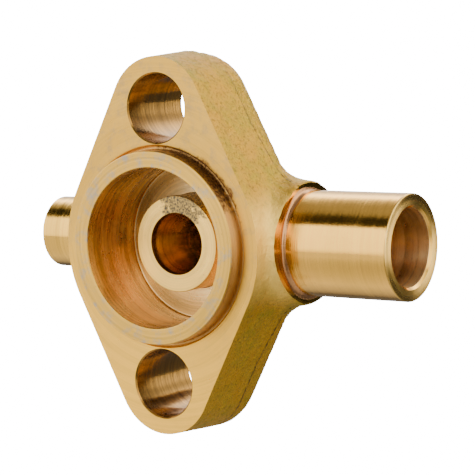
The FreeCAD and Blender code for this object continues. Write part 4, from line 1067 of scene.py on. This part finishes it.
nipple_profile = eased([
    (0, -5, 0), (2.3, -5, 0), (2.5, -4.8, 0), (2.5, 0.0, 0), (3.4, 0.0, 0.1), (3.4, 2.6, 0.2),
    (2.0, 3.2, 0.2), (1.6, 4.2, 0.4), (2.2, 5.2, 0.2), (2.2, 6.0, 0.3), (1.3, 7.0, 0.2),
    (0.5, 7.0, 0.05), (0.4, 6.8, 0.05), (0, 6.7, 0),
])
nipple = on_barrel(turned(nipple_profile, 96, radius=hexagon(5.9)), 1)
steel_piece("hexagon_nipple", nipple, "grease_nipple", sharp=NUT_SHARP)
washer = on_barrel(turned(ring_profile(WASHER_HOLE, 3.9, 0.0, WASHER, 0.15), 96), -1)
steel_piece("bonding_plain_washer", washer, "bonding_washer", loop=True)
dome = np.linspace(0, 1, 12)
dome = np.stack([3.35 * np.cos(dome * math.pi / 2), 2.1 + 1.5 * np.sin(dome * math.pi / 2)], -1)
shank = [[0, -5], [1.8, -5], [2.0, -4.8], [2.0, 0.8], [3.3, 0.8], [3.4, 0.9], [3.4, 2.0]]
screw_profile = np.vstack([shank, dome])
screw = skin("bonding_cross_screw", on_barrel(turned(screw_profile, 96), -1), sharp=30)
slot_way = np.linspace(0, math.tau, 4, endpoint=False)[None, :] + math.pi / 4
slot_rows = np.array([2.9, 2.9, 5.0, 5.0])[:, None]
slot_far = np.array([0.0, 1.0, 1.0, 0.0])[:, None]
screw.data.materials.append(stainless)
slots = []
for name, wide, deep in (("long slot", 4.2, 0.45), ("cross slot", 0.45, 4.2)):
    across, up = slot_far * np.cos(slot_way) * wide, slot_far * np.sin(slot_way) * deep
    slot = np.stack([across, slot_rows + 0 * slot_way, up], -1)
    slots.append(cutter(name, on_barrel(slot, -1), [stainless]))
combine(screw, slots, "DIFFERENCE", "TRANSFER")
smooth(screw.data, 30)
finish_piece(screw, "seacock_body", ["bonding_screw"], "stainless")
print("screw faces:", len(screw.data.polygons))

# %% [markdown]
# ## Plain nodes that stay
#
# The packing rings and the gland bush are boxed in by the casting and the keep plate, and are plain
# rings in any case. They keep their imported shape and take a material.

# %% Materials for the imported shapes
kept_plain = {"packing_ring_inner": packing_fibre, "packing_ring_outer": packing_fibre,
              "gland_bush": plug_bronze}
for packed, material in kept_plain.items():
    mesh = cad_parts[packed].data
    mesh.materials.clear()
    mesh.materials.append(material)
print("plain nodes kept:", list(kept_plain))

# %% [markdown]
# ## Studio
#
# A pale floor well below the valve, with painted shade in front of it and behind it, and a sky with a wide
# bright band at the height of the valve and a dim top, as between tall soft boxes. The camera sees the floor
# and the sky as clean white.

# %% Light
world = bpy.data.worlds.new("studio")
world.use_nodes = True
bpy.context.scene.world = world
tree = world.node_tree
sky_way = node(tree, "TexCoord", {}, "Generated")
up_way = node(tree, "SeparateXYZ", {0: sky_way}, "Z")
rear_way = node(tree, "SeparateXYZ", {0: sky_way}, "Y")
height = node(tree, "MapRange", {0: up_way, 1: -1.0, 2: 1.0})


def levels(output, stops):
    """Fill the colour ramp behind an output with grey levels, from (degrees above level, grey)."""
    band = output.node.color_ramp.elements
    while len(band) < len(stops):
        band.new(1.0)
    for element, (degrees, level) in zip(band, stops):
        element.position = (math.sin(math.radians(degrees)) + 1) / 2
        element.color = grey(level)


front = node(tree, "ValToRGB", {0: height})
levels(front, ((-90, 0.6), (-24, 1.0), (-12, 1.6), (-4, 2.7), (36, 3.0), (40, 0.04), (54, 0.04),
               (57, 0.5), (90, 0.4)))
rear = node(tree, "ValToRGB", {0: height})
levels(rear, ((-90, 0.2), (-20, 0.35), (0, 1.2), (26, 1.5), (40, 5.5), (50, 1.0), (60, 0.4), (90, 0.35)))
to_rear = node(tree, "MapRange", {0: rear_way, 1: -0.1, 2: 0.3})
sky = node(tree, "Mix", {0: to_rear, 6: front, 7: rear}, 2, data_type="RGBA")
patches = (                    # direction, outer and inner angle from it, and grey level
    ((0.500, -0.85, -0.15), 36, 18, 0.4),
    ((0.848, 0.530, -0.05), 30, 14, 5.0),
    ((0.275, 0.956, -0.105), 28, 21, 0.03))
for way, outer, inner, level in patches:
    near = node(tree, "VectorMath", {0: sky_way, 1: way}, "Value", operation="DOT_PRODUCT")
    rim, core = math.cos(math.radians(outer)), math.cos(math.radians(inner))
    shade = node(tree, "MapRange", {0: near, 1: rim, 2: core})
    sky = node(tree, "Mix", {0: shade, 6: sky, 7: grey(level)}, 2, data_type="RGBA")
WHITE_GLOW = 18.0              # what the camera sees of the sky and the floor, far past white


def white_to_camera(tree, lit, kind, target):
    """Give target a shader that glows white to the camera and is lit to everything else."""
    white = node(tree, kind, {"Color": grey(1.0), "Strength": WHITE_GLOW})
    camera_ray = node(tree, "LightPath", {}, "Is Camera Ray")
    both = node(tree, "MixShader", {0: camera_ray, 1: lit, 2: white})
    tree.links.new(both, tree.nodes[target].inputs["Surface"])


lit = node(tree, "Background", {"Color": sky, "Strength": 1.0})
white_to_camera(tree, lit, "Background", "World Output")
print("sky nodes:", len(tree.nodes))

# %% Floor
FLOOR_HALF, FLOOR_Z = 0.8, -0.17   # metres
corners = [(x * FLOOR_HALF, y * FLOOR_HALF, FLOOR_Z) for x, y in ((-1, -1), (1, -1), (1, 1), (-1, 1))]
floor_mesh = bpy.data.meshes.new("floor")
floor_mesh.from_pydata(corners, [], [(0, 1, 2, 3)])
floor = bpy.data.objects.new("floor", floor_mesh)
bpy.context.scene.collection.objects.link(floor)
paint = bpy.data.materials.new("white studio floor")
paint.use_nodes = True
tree = paint.node_tree
matt = tree.nodes["Principled BSDF"]
floor_way = node(tree, "TexCoord", {}, "Object")
# Painted shade on the floor, seen only in the metal: dark round a spot in front of the valve towards the
# delivery side, and darker still behind the valve.
from_corner = node(tree, "VectorMath", {0: floor_way, 1: (0.20, -0.33, FLOOR_Z)}, operation="SUBTRACT")
distance = node(tree, "VectorMath", {0: from_corner}, "Value", operation="LENGTH")
near_share = node(tree, "MapRange", {0: distance, 1: 0.22, 2: 0.42})
floor_with_painted_shade = node(tree, "Mix", {0: near_share, 6: grey(0.14), 7: grey(0.80)}, 2, data_type="RGBA")
back_way = node(tree, "SeparateXYZ", {0: floor_way}, "Y")
back_share = node(tree, "MapRange", {0: back_way, 1: 0.0, 2: 0.15})
floor_with_painted_shade = node(tree, "Mix", {0: back_share, 6: floor_with_painted_shade, 7: grey(0.07)}, 2, data_type="RGBA")
tree.links.new(floor_with_painted_shade, matt.inputs["Base Color"])
matt.inputs["Roughness"].default_value = 0.8
white_to_camera(tree, matt.outputs[0], "Emission", "Material Output")
floor_mesh.materials.append(paint)
print("floor, m:", [round(v, 2) for v in floor.dimensions])

# %% Camera
turn, tilt, roll = math.radians(34.4), math.radians(6.156), math.radians(-1.438)
back = Vector((math.sin(turn) * math.cos(tilt), -math.cos(turn) * math.cos(tilt), math.sin(tilt)))
right = Vector((math.cos(turn), math.sin(turn), 0))
up = back.cross(right)
side = math.cos(roll) * right + math.sin(roll) * up
top = -math.sin(roll) * right + math.cos(roll) * up
ASIDE, ABOVE, DISTANCE = 0.016163, 0.001967, 0.40075   # metres from the frame's origin
eye = ASIDE * side + ABOVE * top + back * DISTANCE
camera = bpy.data.objects.new("camera", bpy.data.cameras.new("camera"))
bpy.context.scene.collection.objects.link(camera)
camera.matrix_world = Matrix((*((side[k], top[k], back[k], eye[k]) for k in range(3)), (0, 0, 0, 1)))
camera.data.sensor_width = 36
camera.data.lens = 146.5
camera.data.clip_start = 0.01
bpy.context.scene.camera = camera
print("camera, m:", [round(v, 3) for v in eye])
